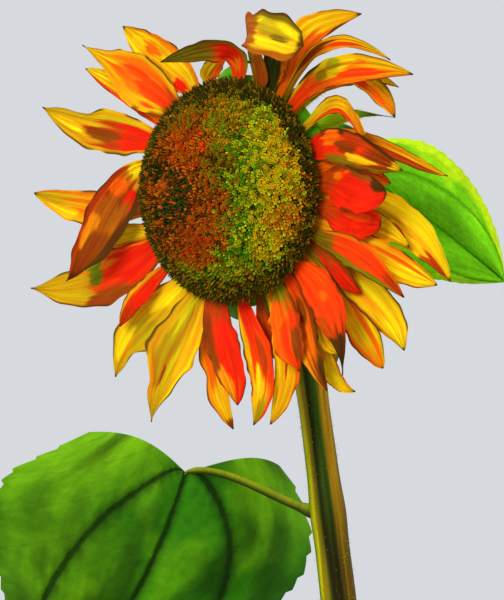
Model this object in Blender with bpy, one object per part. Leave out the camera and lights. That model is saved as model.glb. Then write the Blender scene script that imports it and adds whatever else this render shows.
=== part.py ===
"""Sunflower plant: one flowering head on a leaning stem with heart-shaped leaves.

Metres, +Z up. The origin is the middle of the flat cut under the stem, at ground level,
and the flower faces -Y, turned towards -X.
Run it with: blender --background --python part.py
"""

import math
from collections import namedtuple
from functools import partial

import bmesh
import bpy
from mathutils import Matrix, Quaternion, Vector
from mathutils.bvhtree import BVHTree

MM = 0.001
GAP = 0.3 * MM  # between pieces that touch on the plant
SHARP_ANGLE = 40.0  # an edge that turns more than this is drawn sharp

# Head: where its middle is, how far it is turned from -Y towards -X, and how far it nods.
HEAD_CENTRE = Vector((-0.123, -0.061, 1.275))
HEAD_TURN = 38.0
HEAD_NOD = 1.5
DISK_RADIUS = 75 * MM
DOME_HEIGHT = 29 * MM
DOME_RIM = 1.3 * MM  # the dome's edge stands this far over the slot's roof
DOME_FLATNESS = 2.2
DOME_FULLNESS = 0.62
DISK_SEGMENTS = 36
DOME_RINGS = 6

# The ray florets' roots stand in an annular slot between the disk and the receptacle.
SLOT_INNER = 60 * MM
SLOT_FLOOR = -1.8 * MM
SLOT_ROOF = 5.2 * MM
SEAT_RADIUS = 57.5 * MM  # the raised middle of the receptacle that the disk sits on
SEAT_HEIGHT = 1.2 * MM
RECEPTACLE_RADIUS = 78 * MM
RECEPTACLE_DEPTH = 40 * MM
RECEPTACLE_LIP = 1.4 * MM
RECEPTACLE_BACK = [(60 * MM, -19 * MM), (34 * MM, -31 * MM)]
NECK_RADIUS = 10.5 * MM
NECK_COLLAR = 3 * MM

# Green bracts behind the rays, in two rows: the front one, and the back one between its bracts.
# "radius" and "height" are of the roots, "tilt" is the degrees back from the face, "curl" how much
# further back the tip bends, in radians, "turn" how far the bract bends round clockwise, "fullness"
# how slender it is, the higher the more so, and "shift" how far it stands off its place, in degrees.
Row = namedtuple("Row", "radius height length width tilt curl turn fullness shift")
BRACT_ROWS = [
    Row(66 * MM, -7 * MM, 46 * MM, 19 * MM, 28.0, 0.5, 0.0, 0.8, 0.0),
    Row(61 * MM, -12 * MM, 38 * MM, 19 * MM, 37.0, 0.5, 0.0, 0.8, 0.0),
]
LONG_BRACT = 2  # this one of the front row is longer and narrower, and lies flatter
LONG_BRACT_ROW = Row(66 * MM, -7 * MM, 60 * MM, 11 * MM, 10.0, 0.2, 50.0, 2.5, -10.0)
BRACTS_PER_ROW = 12
BRACT_START = 14.0  # the first one's angle
BRACT_THICKNESS = 1.6 * MM
BRACT_HOLLOW = 1.5 * MM
BRACT_ROOT_SHARE = 0.28  # where the root lies on the outline's half sine
BRACT_TIP_SHARE = 0.06

# Ray florets.
RAY_THICKNESS = 1.1 * MM
RAY_ROOT = 62 * MM
RAY_RIM = 78 * MM
RAY_ROOT_WIDTH = 5 * MM
RAY_LAYERS = [-0.9 * MM, 0.65 * MM, 2.2 * MM, 3.75 * MM]
RAY_CUP = 0.10  # how deep a ray's channel is, as a share of its width
RAY_STATIONS = [0.0, 0.2, 0.42, 0.64, 0.84, 1.0]
RAY_TIP_WIDTH = 1.6 * MM
RAY_COLOURS = {"gold": (0.85, 0.46, 0.02), "orange": (0.85, 0.24, 0.015), "red": (0.72, 0.08, 0.01)}
ROLL_END = 0.7  # a rolled ray has turned all the way at this share of its length
SETTLE_STEP = 1.5 * MM
SETTLE_MOST = 24  # steps
SETTLE_MIDDLE = 0.35  # the middle's share of the lift

# Each ray floret in millimetres and degrees, from the back ones to the front ones. Angles run
# anticlockwise round the face from its right-hand side. "rise" is towards the viewer of the
# face; "bow" is the middle's sideways bend, "arch" its lift, and "lead" its shift to the tip.
# "widest" is where the ray is widest, as a share of its length. "neck" is its width at the rim, as
# a share of its greatest, "belly" how late it swells from there, and "taper" how pointed it ends.
RAY_FIELDS = "tone root layer tip reach rise bow arch width roll lead widest taper neck belly"
Ray = namedtuple("Ray", RAY_FIELDS, defaults=(0, 0, 0.5, 0.85, 0.48, 1))
RAYS = [
    Ray("orange", 26, 0, 2, 161, -14, 6, 1, 10),
    Ray("gold", 45, 0, 28, 137, -18, 12, -5, 9),
    Ray("orange", 58, 0, 48, 151, -6, 16, 1, 24, lead=-8),
    Ray("gold", 65, 1, 67, 101, -4, 0, -2, 20, taper=0.4),
    Ray("gold", 143, 0, 147, 164, -6, -3, 0, 15, lead=4),
    Ray("gold", 186, 0, 179, 183, 0, 6, 0, 24),
    Ray("orange", 255, 0, 268, 160, 0, -9, 0, 21),
    Ray("red", 284, 0, 287, 120, -4, -4, -2, 16),
    Ray("gold", 311, 0, 305, 162, -4, -9, -1, 16, lead=9),
    Ray("gold", 322, 0, 313, 161, -12, 3, -2, 23, lead=10),
    Ray("gold", 357, 0, 339, 172, -16, 14, 0, 25),
    Ray("gold", 345, 0, 344, 143, -7, 7, 1, 19),
    Ray("gold", 11, 1, 1, 123, -5, 2, 2, 18),
    Ray("gold", 46, 1, 20, 130, -12, 22, -2, 13, widest=0.75, neck=0.2, belly=3),
    Ray("gold", 107, 1, 93, 91, 6, 1, 1, 13, lead=-3, taper=0.4),
    Ray("gold", 117, 1, 129, 149, 4, -2, 0, 28, lead=-5, widest=0.4, taper=0.8),
    Ray("orange", 153, 1, 159, 176, 10, 2, 3, 31, lead=-8, taper=1.15),
    Ray("gold", 199, 1, 199, 133, 4, -6, 0, 16),
    Ray("gold", 234, 1, 230, 165, 4, -5, 1, 35, taper=1.1),
    Ray("gold", 293, 1, 280, 158, 2, 14, 1, 21),
    Ray("gold", 315, 1, 308, 135, -4, -1, 0, 17, lead=10),
    Ray("gold", 328, 1, 321, 168, -8, 9, 0, 26, lead=6),
    Ray("gold", 341, 1, 339, 177, -6, 1, 1, 22, lead=9),
    Ray("gold", 34, 2, 15.2, 116, 8, 17, 3, 12, taper=0.3),
    Ray("orange", 54, 2, 32, 152, 2, 22, 3, 9),
    Ray("orange", 132, 2, 140, 162, 12, -4, 3, 36, lead=-7, widest=0.42, taper=1.7),
    Ray("orange", 208, 2, 200, 188, 12, 11, 3, 36, lead=-11, taper=1.2),
    Ray("gold", 246, 2, 246, 171, 8, -2, 4, 39, widest=0.42, taper=1.5),
    Ray("red", 275, 2, 276, 157, 6, 12, 2, 23),
    Ray("red", 307, 2, 301, 154, 8, 1, 3, 19),
    Ray("red", 331, 2, 326, 123, 0, 1, 3, 13, lead=5),
    Ray("red", 350, 2, 349, 128, 10, 0, 3, 28, taper=0.5),
    Ray("red", 3, 3, 358, 136, 18, -1, 7, 30, taper=0.5),
    Ray("red", 20, 3, 4, 139, 4, 5, 6, 24, lead=-5, neck=0.75),
    Ray("orange", 47, 3, 26, 161, -2, 13, 3, 19, lead=-5),
    Ray("gold", 71, 3, 44.5, 128, 44, 31, -8, 28,
        roll=-90, lead=-28, widest=0.78, taper=0.3, neck=0.45, belly=3),
    Ray("red", 85, 3, 116.5, 98, 24, -15, 6, 23, roll=30, lead=-20, widest=0.4, taper=0.9),
    Ray("orange", 168, 3, 205, 140, 30, 1, 5, 32, lead=-4, taper=1.4),
    Ray("red", 221, 3, 224, 131, 12, -2, 2, 15),
    Ray("red", 258, 3, 273, 143, 10, 2, 2, 26, neck=0.75),
    Ray("red", 299, 3, 296, 133, 8, 2, 4, 27),
    Ray("red", 317, 3, 308, 154, 12, 13, 4, 29, widest=0.4, taper=1.8),
    Ray("red", 336, 3, 334, 162, 4, 9, 6, 20),
]

# Stem: its lean grows with height, and its radius narrows from the flare to the neck.
STEM_LEAN = -0.053
STEM_LEAN_POWER = 2.2
STEM_SWAY = 0.012
STEM_STRAIGHT_TOP = 1.16
STEM_RADII = [(0.0, 24 * MM), (0.02, 20 * MM), (0.06, 17.5 * MM), (0.5, 15.5 * MM), (0.8, 14 * MM),
              (1.0, 12.4 * MM), (1.08, 11.2 * MM), (1.16, 10.2 * MM)]
FLARE_HEIGHTS = [0.0, 0.012, 0.03, 0.06]
STEM_SIDES = 14
STEM_RINGS = 17  # above the flare
NECK_RINGS = 8
NECK_RISE = 0.07  # how hard the neck keeps to the stem's way, and to the head's
NECK_REACH = 0.06

# Leaves. "turn" is the compass angle that the petiole leaves the stem at, from +X round to +Y, and
# "face" the one that the blade points to. "pitch" is how far the blade's base points down,
# "droop" how much further its tip does, "twist" its roll about the midrib, and "lobe" how far the
# heart's lobes reach back, as a share of the blade. Sizes are in millimetres, the height in metres.
LEAF_FIELDS = "height turn petiole climb face pitch droop twist length width lobe"
Leaf = namedtuple("Leaf", LEAF_FIELDS, defaults=(0.17,))
UPPER_LEAVES = [
    Leaf(1.150, 40, 48, 137, -18, 33, 8, 74, 120, 92),
    Leaf(1.054, 172, 88, 27, 148, 71, -30, -145, 215, 241, 0.09),
]
LOWER_LEAVES = 10
LOWER_TOP = 0.885
LOWER_STEP = 0.082
LOWER_LENGTH = 215  # of the lowest and highest; those between are longer by LOWER_SWELL
LOWER_SWELL = 45
LOWER_WIDTH_SHARE = 0.9
LOWER_PETIOLES = [100, 110, 120]
LOWER_CLIMB = 42
LOWER_SWINGS = [6, -6]  # how far a blade turns aside from its petiole
LOWER_PITCH = 20
LOWER_DROOPS = [40, 48]
GOLDEN_ANGLE = 137.5
LEAF_THICKNESS_SHARE = 1 / 90
LEAF_WIDEST = 0.25
LEAF_BASE = 0.62  # its width at the petiole, as a share of its greatest
LEAF_TAPER = 1.7
LEAF_FULLNESS = 0.9
LOBE_PEAK = 0.67  # how far from the midrib a lobe reaches back the most, as a share of the half width
LEAF_FOLD = 0.25
LEAF_SAG = 0.38
MIDRIB_STEPS = 8  # straight stretches that the midrib's bend is added up from
LEAF_ROWS = 7
LEAF_COLUMNS = 4
PETIOLE_RADIUS = 3.4 * MM
PETIOLE_GAP = 0.9 * MM  # wider than GAP because the stem leans
PETIOLE_END_RADIUS = 2.3 * MM
PETIOLE_SIDES = 6
PETIOLE_RINGS = 6
PETIOLE_PULL = 0.3  # of its span, at both ends
PETIOLE_LIFT = 0.1
PETIOLE_SINK = 0.05  # how far it runs on into the blade, as a share of the blade


def clear_scene():
    for obj in list(bpy.data.objects):
        bpy.data.objects.remove(obj, do_unlink=True)


def material(name, colour, roughness):
    made = bpy.data.materials.new(name)
    made.use_nodes = True
    shader = made.node_tree.nodes["Principled BSDF"]
    shader.inputs["Base Color"].default_value = (*colour, 1.0)
    shader.inputs["Roughness"].default_value = roughness
    shader.inputs["Metallic"].default_value = 0.0
    return made


def finish(name, mesh_builder, finish_material, parent=None):
    """Turns a bmesh into a named object with smooth shading."""
    bmesh.ops.recalc_face_normals(mesh_builder, faces=mesh_builder.faces[:])
    if mesh_builder.calc_volume(signed=True) < 0:
        bmesh.ops.reverse_faces(mesh_builder, faces=mesh_builder.faces[:])
    mesh = bpy.data.meshes.new(name)
    mesh_builder.to_mesh(mesh)
    mesh_builder.free()
    mesh.materials.append(finish_material)
    mesh.shade_smooth()
    mesh.set_sharp_from_angle(angle=math.radians(SHARP_ANGLE))
    obj = bpy.data.objects.new(name, mesh)
    bpy.context.collection.objects.link(obj)
    obj.parent = parent
    return obj


def polar(radius, degrees, rise=0.0):
    """A point of the head: the face is its XY plane, and Z is the way that it looks."""
    angle = math.radians(degrees)
    return Vector((radius * math.cos(angle), radius * math.sin(angle), rise))


def head_matrix():
    turn, nod = math.radians(HEAD_TURN), math.radians(HEAD_NOD)
    forward = Vector((-math.sin(turn) * math.cos(nod), -math.cos(turn) * math.cos(nod), -math.sin(nod)))
    up = (Vector((0, 0, 1)) - forward * forward.z).normalized()
    right = up.cross(forward)
    axes = Matrix((right, up, forward)).transposed().to_4x4()
    return Matrix.Translation(HEAD_CENTRE) @ axes


def smooth(share):
    """Nothing at 0, one from 1 on, level at both ends."""
    share = min(max(share, 0.0), 1.0)
    return share * share * (3 - 2 * share)


def bezier(points, t):
    a, b, c, d = points
    s = 1 - t
    return a * s**3 + b * (3 * s * s * t) + c * (3 * s * t * t) + d * t**3


def turned(profile, segments):
    """A closed solid of revolution about Z from (radius, height) points that start and end on the axis."""
    shape = bmesh.new()
    verts = [shape.verts.new((radius, 0, height)) for radius, height in profile]
    edges = [shape.edges.new(pair) for pair in zip(verts, verts[1:])]
    bmesh.ops.spin(shape, geom=verts + edges, cent=(0, 0, 0), axis=(0, 0, 1), angle=2 * math.pi,
                   steps=segments, use_merge=True)
    bmesh.ops.remove_doubles(shape, verts=shape.verts[:], dist=1e-6)
    return shape


def tube(path, radii, sides, start, end):
    """A closed tube through the path's points, with flat ends that face start and end."""
    shape = bmesh.new()
    across = Vector((0, 1, 0)) if abs(start.x) > 0.9 else Vector((1, 0, 0))
    rings = []
    for i, (centre, radius) in enumerate(zip(path, radii)):
        along = (path[min(i + 1, len(path) - 1)] - path[max(i - 1, 0)]).normalized()
        along = {0: start, len(path) - 1: end}.get(i, along)
        across = (across - along * across.dot(along)).normalized()
        turn = Matrix((across, along.cross(across), along)).transposed().to_4x4()
        rings.append(bmesh.ops.create_circle(shape, cap_ends=False, radius=radius, segments=sides,
                                             matrix=Matrix.Translation(centre) @ turn)["verts"])
    hoops = [[edge for edge in shape.edges if edge.verts[0] in ring] for ring in map(set, rings)]
    for lower, upper in zip(hoops, hoops[1:]):
        bmesh.ops.bridge_loops(shape, edges=lower + upper)
    for hoop in (hoops[0], hoops[-1]):
        bmesh.ops.contextual_create(shape, geom=hoop)
    return shape


def dome_height(radius):
    """The height of the disk's face above the rays' roots at this radius."""
    share = min(radius / DISK_RADIUS, 1.0)
    return SLOT_ROOF + DOME_RIM + DOME_HEIGHT * (1 - share**DOME_FLATNESS) ** DOME_FULLNESS


def disk(parent):
    radii = [DISK_RADIUS * math.sin(math.pi / 2 * i / DOME_RINGS) for i in range(DOME_RINGS + 1)]
    profile = [(0, SEAT_HEIGHT + GAP), (SEAT_RADIUS + GAP, SEAT_HEIGHT + GAP), (SLOT_INNER, SLOT_ROOF),
               (DISK_RADIUS - MM, SLOT_ROOF)]
    profile += [(radius, dome_height(radius)) for radius in reversed(radii)]
    brown = material("disk_brown", (0.09, 0.05, 0.02), 0.9)
    return finish("seed_disk", turned(profile, DISK_SEGMENTS), brown, parent)


def blade(rows, columns, place):
    """A thin closed blade: a grid extruded once, whose points go through place(along, across, side)."""
    shape = bmesh.new()
    bmesh.ops.create_grid(shape, x_segments=columns, y_segments=rows, size=1.0)
    upper = bmesh.ops.extrude_face_region(shape, geom=shape.faces[:])["geom"]
    raised = {item for item in upper if isinstance(item, bmesh.types.BMVert)}
    for vert in shape.verts:
        side = 1 if vert in raised else -1
        vert.co = place((vert.co.y + 1) / 2, round(vert.co.x, 6), side)
    return shape


def bract(index):
    """One pointed bract, its root sunk in the receptacle's side."""
    row = LONG_BRACT_ROW if index == LONG_BRACT else BRACT_ROWS[index % 2]
    degrees = 360 * index / (2 * BRACTS_PER_ROW) + BRACT_START + row.shift
    start = polar(row.radius, degrees, row.height)

    def place(along, across, side):
        bend = math.radians(row.tilt) + row.curl * along**2
        half_turn = row.turn * along / 2
        outward = polar(1, degrees - half_turn)
        sideways = Vector((0, 0, 1)).cross(polar(1, degrees - 2 * half_turn))
        swell = math.sin(math.pi * (BRACT_ROOT_SHARE + (1 - BRACT_ROOT_SHARE) * along))
        half = row.width / 2 * max(max(swell, 0) ** row.fullness, BRACT_TIP_SHARE)
        reach = along * row.length
        drop = math.sin(bend) * reach + BRACT_HOLLOW * across * across - side * BRACT_THICKNESS / 2
        level = start + outward * (math.cos(bend) * reach) + sideways * (across * half)
        return level - Vector((0, 0, drop))

    return blade(4, 2, place)


def union_all(target, others, solver="EXACT"):
    """Joins the other objects into the target, and removes them."""
    group = bpy.data.collections.new(target.name + "_parts")
    for other in others:
        group.objects.link(other)
    joined = target.modifiers.new("join", "BOOLEAN")
    joined.operation = "UNION"
    joined.operand_type = "COLLECTION"
    joined.collection = group
    joined.solver = solver
    graph = bpy.context.evaluated_depsgraph_get()
    mesh = bpy.data.meshes.new_from_object(target.evaluated_get(graph))
    target.modifiers.clear()
    target.data = mesh
    for other in others:
        bpy.data.objects.remove(other, do_unlink=True)
    bpy.data.collections.remove(group)
    return target


def receptacle(parent):
    face = [(0, SEAT_HEIGHT), (SEAT_RADIUS, SEAT_HEIGHT), (SLOT_INNER - GAP, SLOT_FLOOR),
            (RECEPTACLE_RADIUS - MM, SLOT_FLOOR), (RECEPTACLE_RADIUS, SLOT_FLOOR - RECEPTACLE_LIP)]
    back = RECEPTACLE_BACK + [(NECK_RADIUS + NECK_COLLAR, -RECEPTACLE_DEPTH), (0, -RECEPTACLE_DEPTH)]
    green = material("bract_green", (0.10, 0.22, 0.04), 0.7)
    cup = finish("receptacle", turned(list(reversed(face + back)), DISK_SEGMENTS), green)
    bracts = [finish(f"bract_{i}", bract(i), green) for i in range(2 * BRACTS_PER_ROW)]
    union_all(cup, bracts, "MANIFOLD")
    cup.parent = parent
    return cup


def ray_path(ray, lift):
    """The four Bezier points of a ray outside the rim, and the two ends of its straight root."""
    height = RAY_LAYERS[ray.layer]
    start = polar(RAY_RIM, ray.root, height)
    tip = polar(ray.reach * MM, ray.tip, ray.rise * MM + lift)
    chord = tip - start
    level = Vector((chord.x, chord.y, 0)).normalized()
    side = Vector((-level.y, level.x, 0))
    middle = (start + tip) / 2 + (side * ray.bow + level * ray.lead) * MM
    middle.z += ray.arch * MM + lift * SETTLE_MIDDLE
    pull = (middle * 2 - (start + tip) / 2 - start) * (2 / 3)
    leave = start + (pull + polar(pull.length, ray.root)) / 2
    arrive = (middle * 8 - start - leave * 3 - tip) / 3
    return polar(RAY_ROOT, ray.root, height), (start, leave, arrive, tip)


def ray_width(ray, share):
    """The width of a ray at this share of its free length."""
    swell = math.sin(math.pi / 2 * min(1, share / ray.widest)) ** ray.belly
    swell = ray.neck + (1 - ray.neck) * swell
    taper = (1 - max(0, (share - ray.widest) / (1 - ray.widest)) ** 2) ** ray.taper
    return max(ray.width * MM * swell * taper, RAY_TIP_WIDTH)


def ray_frames(ray, lift):
    """(centre, across, normal, width, cup) at each station of the ray, from its root to its tip."""
    root, points = ray_path(ray, lift)
    shares = RAY_STATIONS
    centres = [root] + [bezier(points, share) for share in shares]
    widths = [RAY_ROOT_WIDTH] + [ray_width(ray, share) for share in shares]
    cups = [0.0, 0.0] + [RAY_CUP * width for width in widths[2:]]
    rolls = [0.0] + [math.radians(ray.roll) * smooth(share / ROLL_END) for share in shares]
    frames = []
    across = Vector((0, 0, 1)).cross(polar(1, ray.root))
    for i, centre in enumerate(centres):
        ahead, behind = centres[min(i + 1, len(centres) - 1)], centres[max(i - 1, 0)]
        along = (ahead - behind).normalized() if i > 1 else polar(1, ray.root)
        across = (across - along * across.dot(along)).normalized()
        turn = Quaternion(along, rolls[i])
        side = turn @ across
        frames.append((centre, side, along.cross(side), widths[i], cups[i]))
    return frames


def ray_shape(ray, lift, thickness):
    frames = ray_frames(ray, lift)
    last = len(frames) - 1

    def place(along, across, side):
        centre, sideways, normal, width, cup = frames[round(along * last)]
        height = cup * (across * across - 0.5) + side * thickness / 2
        return centre + sideways * (across * width / 2) + normal * height

    return blade(last, 2, place)


def tree_of(shape):
    bmesh.ops.triangulate(shape, faces=shape.faces[:])
    tree = BVHTree.FromBMesh(shape)
    shape.free()
    return tree


def tree_of_object(obj):
    shape = bmesh.new()
    shape.from_mesh(obj.data)
    return tree_of(shape)


def settle(ray, placed):
    """How far this ray has to rise towards its tip to lie clear of the pieces behind it."""
    for step in range(SETTLE_MOST):
        lift = step * SETTLE_STEP
        trial = tree_of(ray_shape(ray, lift, RAY_THICKNESS + 2 * GAP))
        if not any(trial.overlap(other) for other in placed):
            return lift
    return lift


def ray_florets(parent, neighbours):
    tones = {tone: material(f"ray_{tone}", colour, 0.6) for tone, colour in RAY_COLOURS.items()}
    placed = [tree_of_object(obj) for obj in neighbours]
    for number, ray in enumerate(RAYS, start=1):
        lift = settle(ray, placed)
        placed.append(tree_of(ray_shape(ray, lift, RAY_THICKNESS)))
        finish(f"ray_floret_{number:02d}", ray_shape(ray, lift, RAY_THICKNESS), tones[ray.tone], parent)


def stem_centre(height):
    share = height / STEM_STRAIGHT_TOP
    return Vector((STEM_LEAN * height**STEM_LEAN_POWER, STEM_SWAY * math.sin(math.pi / 2 * share), height))


def stem_radius(height):
    for (low, first), (high, second) in zip(STEM_RADII, STEM_RADII[1:]):
        if height <= high:
            return first + (second - first) * (height - low) / (high - low)
    return STEM_RADII[-1][1]


def neck_points():
    """The Bezier points of the neck, from the straight stem round into the head's back."""
    head = head_matrix()
    forward = head.to_3x3().col[2]
    start = stem_centre(STEM_STRAIGHT_TOP)
    rise = (start - stem_centre(STEM_STRAIGHT_TOP - 0.01)).normalized()
    end = head @ Vector((0, 0, -RECEPTACLE_DEPTH - GAP))
    return start, start + rise * NECK_RISE, end - forward * NECK_REACH, end


def stem():
    flare = FLARE_HEIGHTS[-1]
    rest = [flare + (STEM_STRAIGHT_TOP - flare) * (i + 1) / STEM_RINGS for i in range(STEM_RINGS)]
    heights = FLARE_HEIGHTS + rest
    path = [stem_centre(height) for height in heights]
    radii = [stem_radius(height) for height in heights]
    points = neck_points()
    for i in range(1, NECK_RINGS + 1):
        path.append(bezier(points, i / NECK_RINGS))
        radii.append(STEM_RADII[-1][1] + (NECK_RADIUS - STEM_RADII[-1][1]) * i / NECK_RINGS)
    forward = head_matrix().to_3x3().col[2]
    shape = tube(path, radii, STEM_SIDES, Vector((0, 0, 1)), forward)
    return finish("stem", shape, material("stem_green", (0.14, 0.20, 0.04), 0.6))


def compass(degrees):
    angle = math.radians(degrees)
    return Vector((math.cos(angle), math.sin(angle), 0))


def leaf_base(leaf):
    """Where the petiole starts on the stem, the way it leaves, and where it meets the blade."""
    away = compass(leaf.turn)
    start = stem_centre(leaf.height) + away * (stem_radius(leaf.height) + PETIOLE_GAP)
    return start, away, start + away * leaf.petiole * MM + Vector((0, 0, leaf.climb * MM))


def midrib(leaf, distance):
    """The midrib's point and direction at this distance from the petiole; lobes lie before it."""
    length = leaf.length * MM
    heading = compass(leaf.face)
    point = leaf_base(leaf)[2]
    for i in range(MIDRIB_STEPS):
        share = max((i + 0.5) / MIDRIB_STEPS * distance / length, 0)
        angle = math.radians(leaf.pitch + leaf.droop * share)
        along = heading * math.cos(angle) - Vector((0, 0, math.sin(angle)))
        point = point + along * (distance / MIDRIB_STEPS)
    return point, along


def leaf_half_width(share):
    swell = LEAF_BASE + (1 - LEAF_BASE) * math.sin(math.pi / 2 * min(1, share / LEAF_WIDEST))
    return swell * (1 - max(0, (share - LEAF_WIDEST) / (1 - LEAF_WIDEST)) ** LEAF_TAPER) ** LEAF_FULLNESS


def leaf_point(leaf, along, across, side):
    """A point of the heart-shaped blade, side up or down by half its thickness."""
    length = leaf.length * MM
    lobe = leaf.lobe * math.sin(math.pi / 2 * abs(across) / LOBE_PEAK) * (1 - along) ** 3
    centre, way = midrib(leaf, length * (along - lobe))
    level = Vector((0, 0, 1)).cross(way).normalized()
    sideways = Quaternion(way, math.radians(leaf.twist)) @ level
    normal = way.cross(sideways)
    half = max(leaf.width * MM / 2 * leaf_half_width(along), MM)
    height = half * (LEAF_FOLD * abs(across) - LEAF_SAG * across * across)
    height += side * length * LEAF_THICKNESS_SHARE / 2
    return centre + sideways * (across * half) + normal * height


def petiole(leaf):
    start, away, end = leaf_base(leaf)
    way = (away * 3 + midrib(leaf, 0.02)[1]).normalized()
    span = (end - start).length
    leaving = start + away * (PETIOLE_PULL * span) + Vector((0, 0, PETIOLE_LIFT * span))
    points = (start, leaving, end - way * (PETIOLE_PULL * span), end)
    path = [bezier(points, i / PETIOLE_RINGS) for i in range(PETIOLE_RINGS + 1)]
    path.append(midrib(leaf, PETIOLE_SINK * leaf.length * MM)[0])
    last = len(path) - 1
    radii = [PETIOLE_RADIUS + (PETIOLE_END_RADIUS - PETIOLE_RADIUS) * i / last for i in range(last + 1)]
    return tube(path, radii, PETIOLE_SIDES, away, way)


def lower_leaves():
    """The leaves below, a golden angle apart, each row taking the next value of each list in turn."""
    rows = []
    for i in range(LOWER_LEAVES):
        length = LOWER_LENGTH + LOWER_SWELL * math.sin(math.pi * i / (LOWER_LEAVES - 1))
        turn = (UPPER_LEAVES[-1].turn + GOLDEN_ANGLE * (i + 1)) % 360
        rows.append(Leaf(
            height=LOWER_TOP - i * LOWER_STEP, turn=turn, petiole=LOWER_PETIOLES[i % 3], climb=LOWER_CLIMB,
            face=turn + LOWER_SWINGS[i % 2], pitch=LOWER_PITCH, droop=LOWER_DROOPS[i % 2], twist=0,
            length=length, width=length * LOWER_WIDTH_SHARE))
    return rows


def leaves():
    green = material("leaf_green", (0.10, 0.30, 0.03), 0.55)
    for number, leaf in enumerate(UPPER_LEAVES + lower_leaves(), start=1):
        shape = blade(LEAF_ROWS, LEAF_COLUMNS, partial(leaf_point, leaf))
        whole = finish(f"leaf_{number:02d}", shape, green)
        union_all(whole, [finish(f"petiole_{number:02d}", petiole(leaf), green)])


def main():
    clear_scene()
    anchor = bpy.data.objects.new("head_anchor", None)
    bpy.context.collection.objects.link(anchor)
    anchor.matrix_world = head_matrix()
    seeds = disk(anchor)
    cup = receptacle(anchor)
    ray_florets(anchor, [seeds, cup])
    stem()
    leaves()


main()
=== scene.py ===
# %% [markdown]
# # A sunflower, from its stem to its petals
# The plant is one big flower head that leans over on a rough green stem, with broad heart-shaped leaves.
# Its solids come ready made and say where everything is. This notebook gives each of them its grown
# form and its finish: 43 petals, a disk of 3,700 florets, the green cup with its bracts, the ribbed stem
# and the leaves. Each new piece stands for the solid of the same part of the plant, so it follows the
# same rule for its shape, written again with many more steps. A copy of the solid with subdivision
# added would be quicker, but it would be as blunt as the solid is.

import math
import random
from collections import namedtuple
from functools import partial

import bmesh
import bpy
import numpy as np
from mathutils import Matrix, Quaternion, Vector, noise


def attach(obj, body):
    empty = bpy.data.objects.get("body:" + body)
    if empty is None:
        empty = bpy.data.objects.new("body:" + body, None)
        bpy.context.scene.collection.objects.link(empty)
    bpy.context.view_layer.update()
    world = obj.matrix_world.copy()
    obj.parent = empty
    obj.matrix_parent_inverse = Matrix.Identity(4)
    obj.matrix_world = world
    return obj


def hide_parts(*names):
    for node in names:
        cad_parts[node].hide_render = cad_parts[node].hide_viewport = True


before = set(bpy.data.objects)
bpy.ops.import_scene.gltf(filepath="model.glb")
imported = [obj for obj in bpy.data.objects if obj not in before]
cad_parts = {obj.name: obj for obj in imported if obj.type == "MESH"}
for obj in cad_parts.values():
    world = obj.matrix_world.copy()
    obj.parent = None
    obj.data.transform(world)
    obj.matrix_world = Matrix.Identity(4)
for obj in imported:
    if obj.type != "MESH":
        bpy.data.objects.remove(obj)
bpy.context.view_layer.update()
MM = 0.001

# %% [markdown]
# The camera stands level with the flower and looks straight along +Y. The long lens keeps the head from
# bulging, as it would close up. The colour view is the plain one: the filmic views take the strength
# out of a strong red or yellow.

# %% Camera
EYE = Vector((-0.1123, -1.861, 1.202))
LENS_MM = 161.2

lens = bpy.data.cameras.new("camera")
lens.lens = LENS_MM
camera = bpy.data.objects.new("camera", lens)
camera.location = EYE
camera.rotation_euler = (math.pi / 2, 0, 0)
bpy.context.collection.objects.link(camera)
bpy.context.scene.camera = camera
bpy.context.scene.view_settings.view_transform = "Standard"
print(f"camera {EYE.z:.2f} m up, {-EYE.y:.2f} m in front")

# %% [markdown]
# A finish is a tree of shader nodes, and most of the nodes do sums. Placing them one by one hides the
# sum, so a `Wire` stands for the output of a node and adds a Math node for each operator that is
# written.

# %% Wires
class Wire:
    """A node's output. Sums on wires add the Math nodes that work them out."""

    def __init__(self, finish, socket):
        self.finish = finish
        self.socket = socket

    def math(self, operation, *others):
        inputs = dict(enumerate((self, *others)))
        return self.finish.node("ShaderNodeMath", {"operation": operation}, inputs)

    def __add__(self, other):
        return self.math("ADD", other)

    def __sub__(self, other):
        return self.math("SUBTRACT", other)

    def __rsub__(self, other):
        return (self * -1.0).math("ADD", other)

    def __mul__(self, other):
        return self.math("MULTIPLY", other)

    def __truediv__(self, other):
        return self.math("DIVIDE", other)

    def __pow__(self, other):
        return self.math("POWER", other)

    def __abs__(self):
        return self.math("ABSOLUTE")

    __radd__ = __add__
    __rmul__ = __mul__


print("a wire knows", ", ".join(name.strip("_") for name, way in vars(Wire).items() if callable(way)))

# %% [markdown]
# `Finish` makes a material round one Principled shader. Its one `node` method makes every kind of node
# but the sums, and the short methods after it are the few nodes that the plant's finishes need.

# %% Finishes
SOFT_GLOSS = 0.03  # petals and florets reflect little


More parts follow.
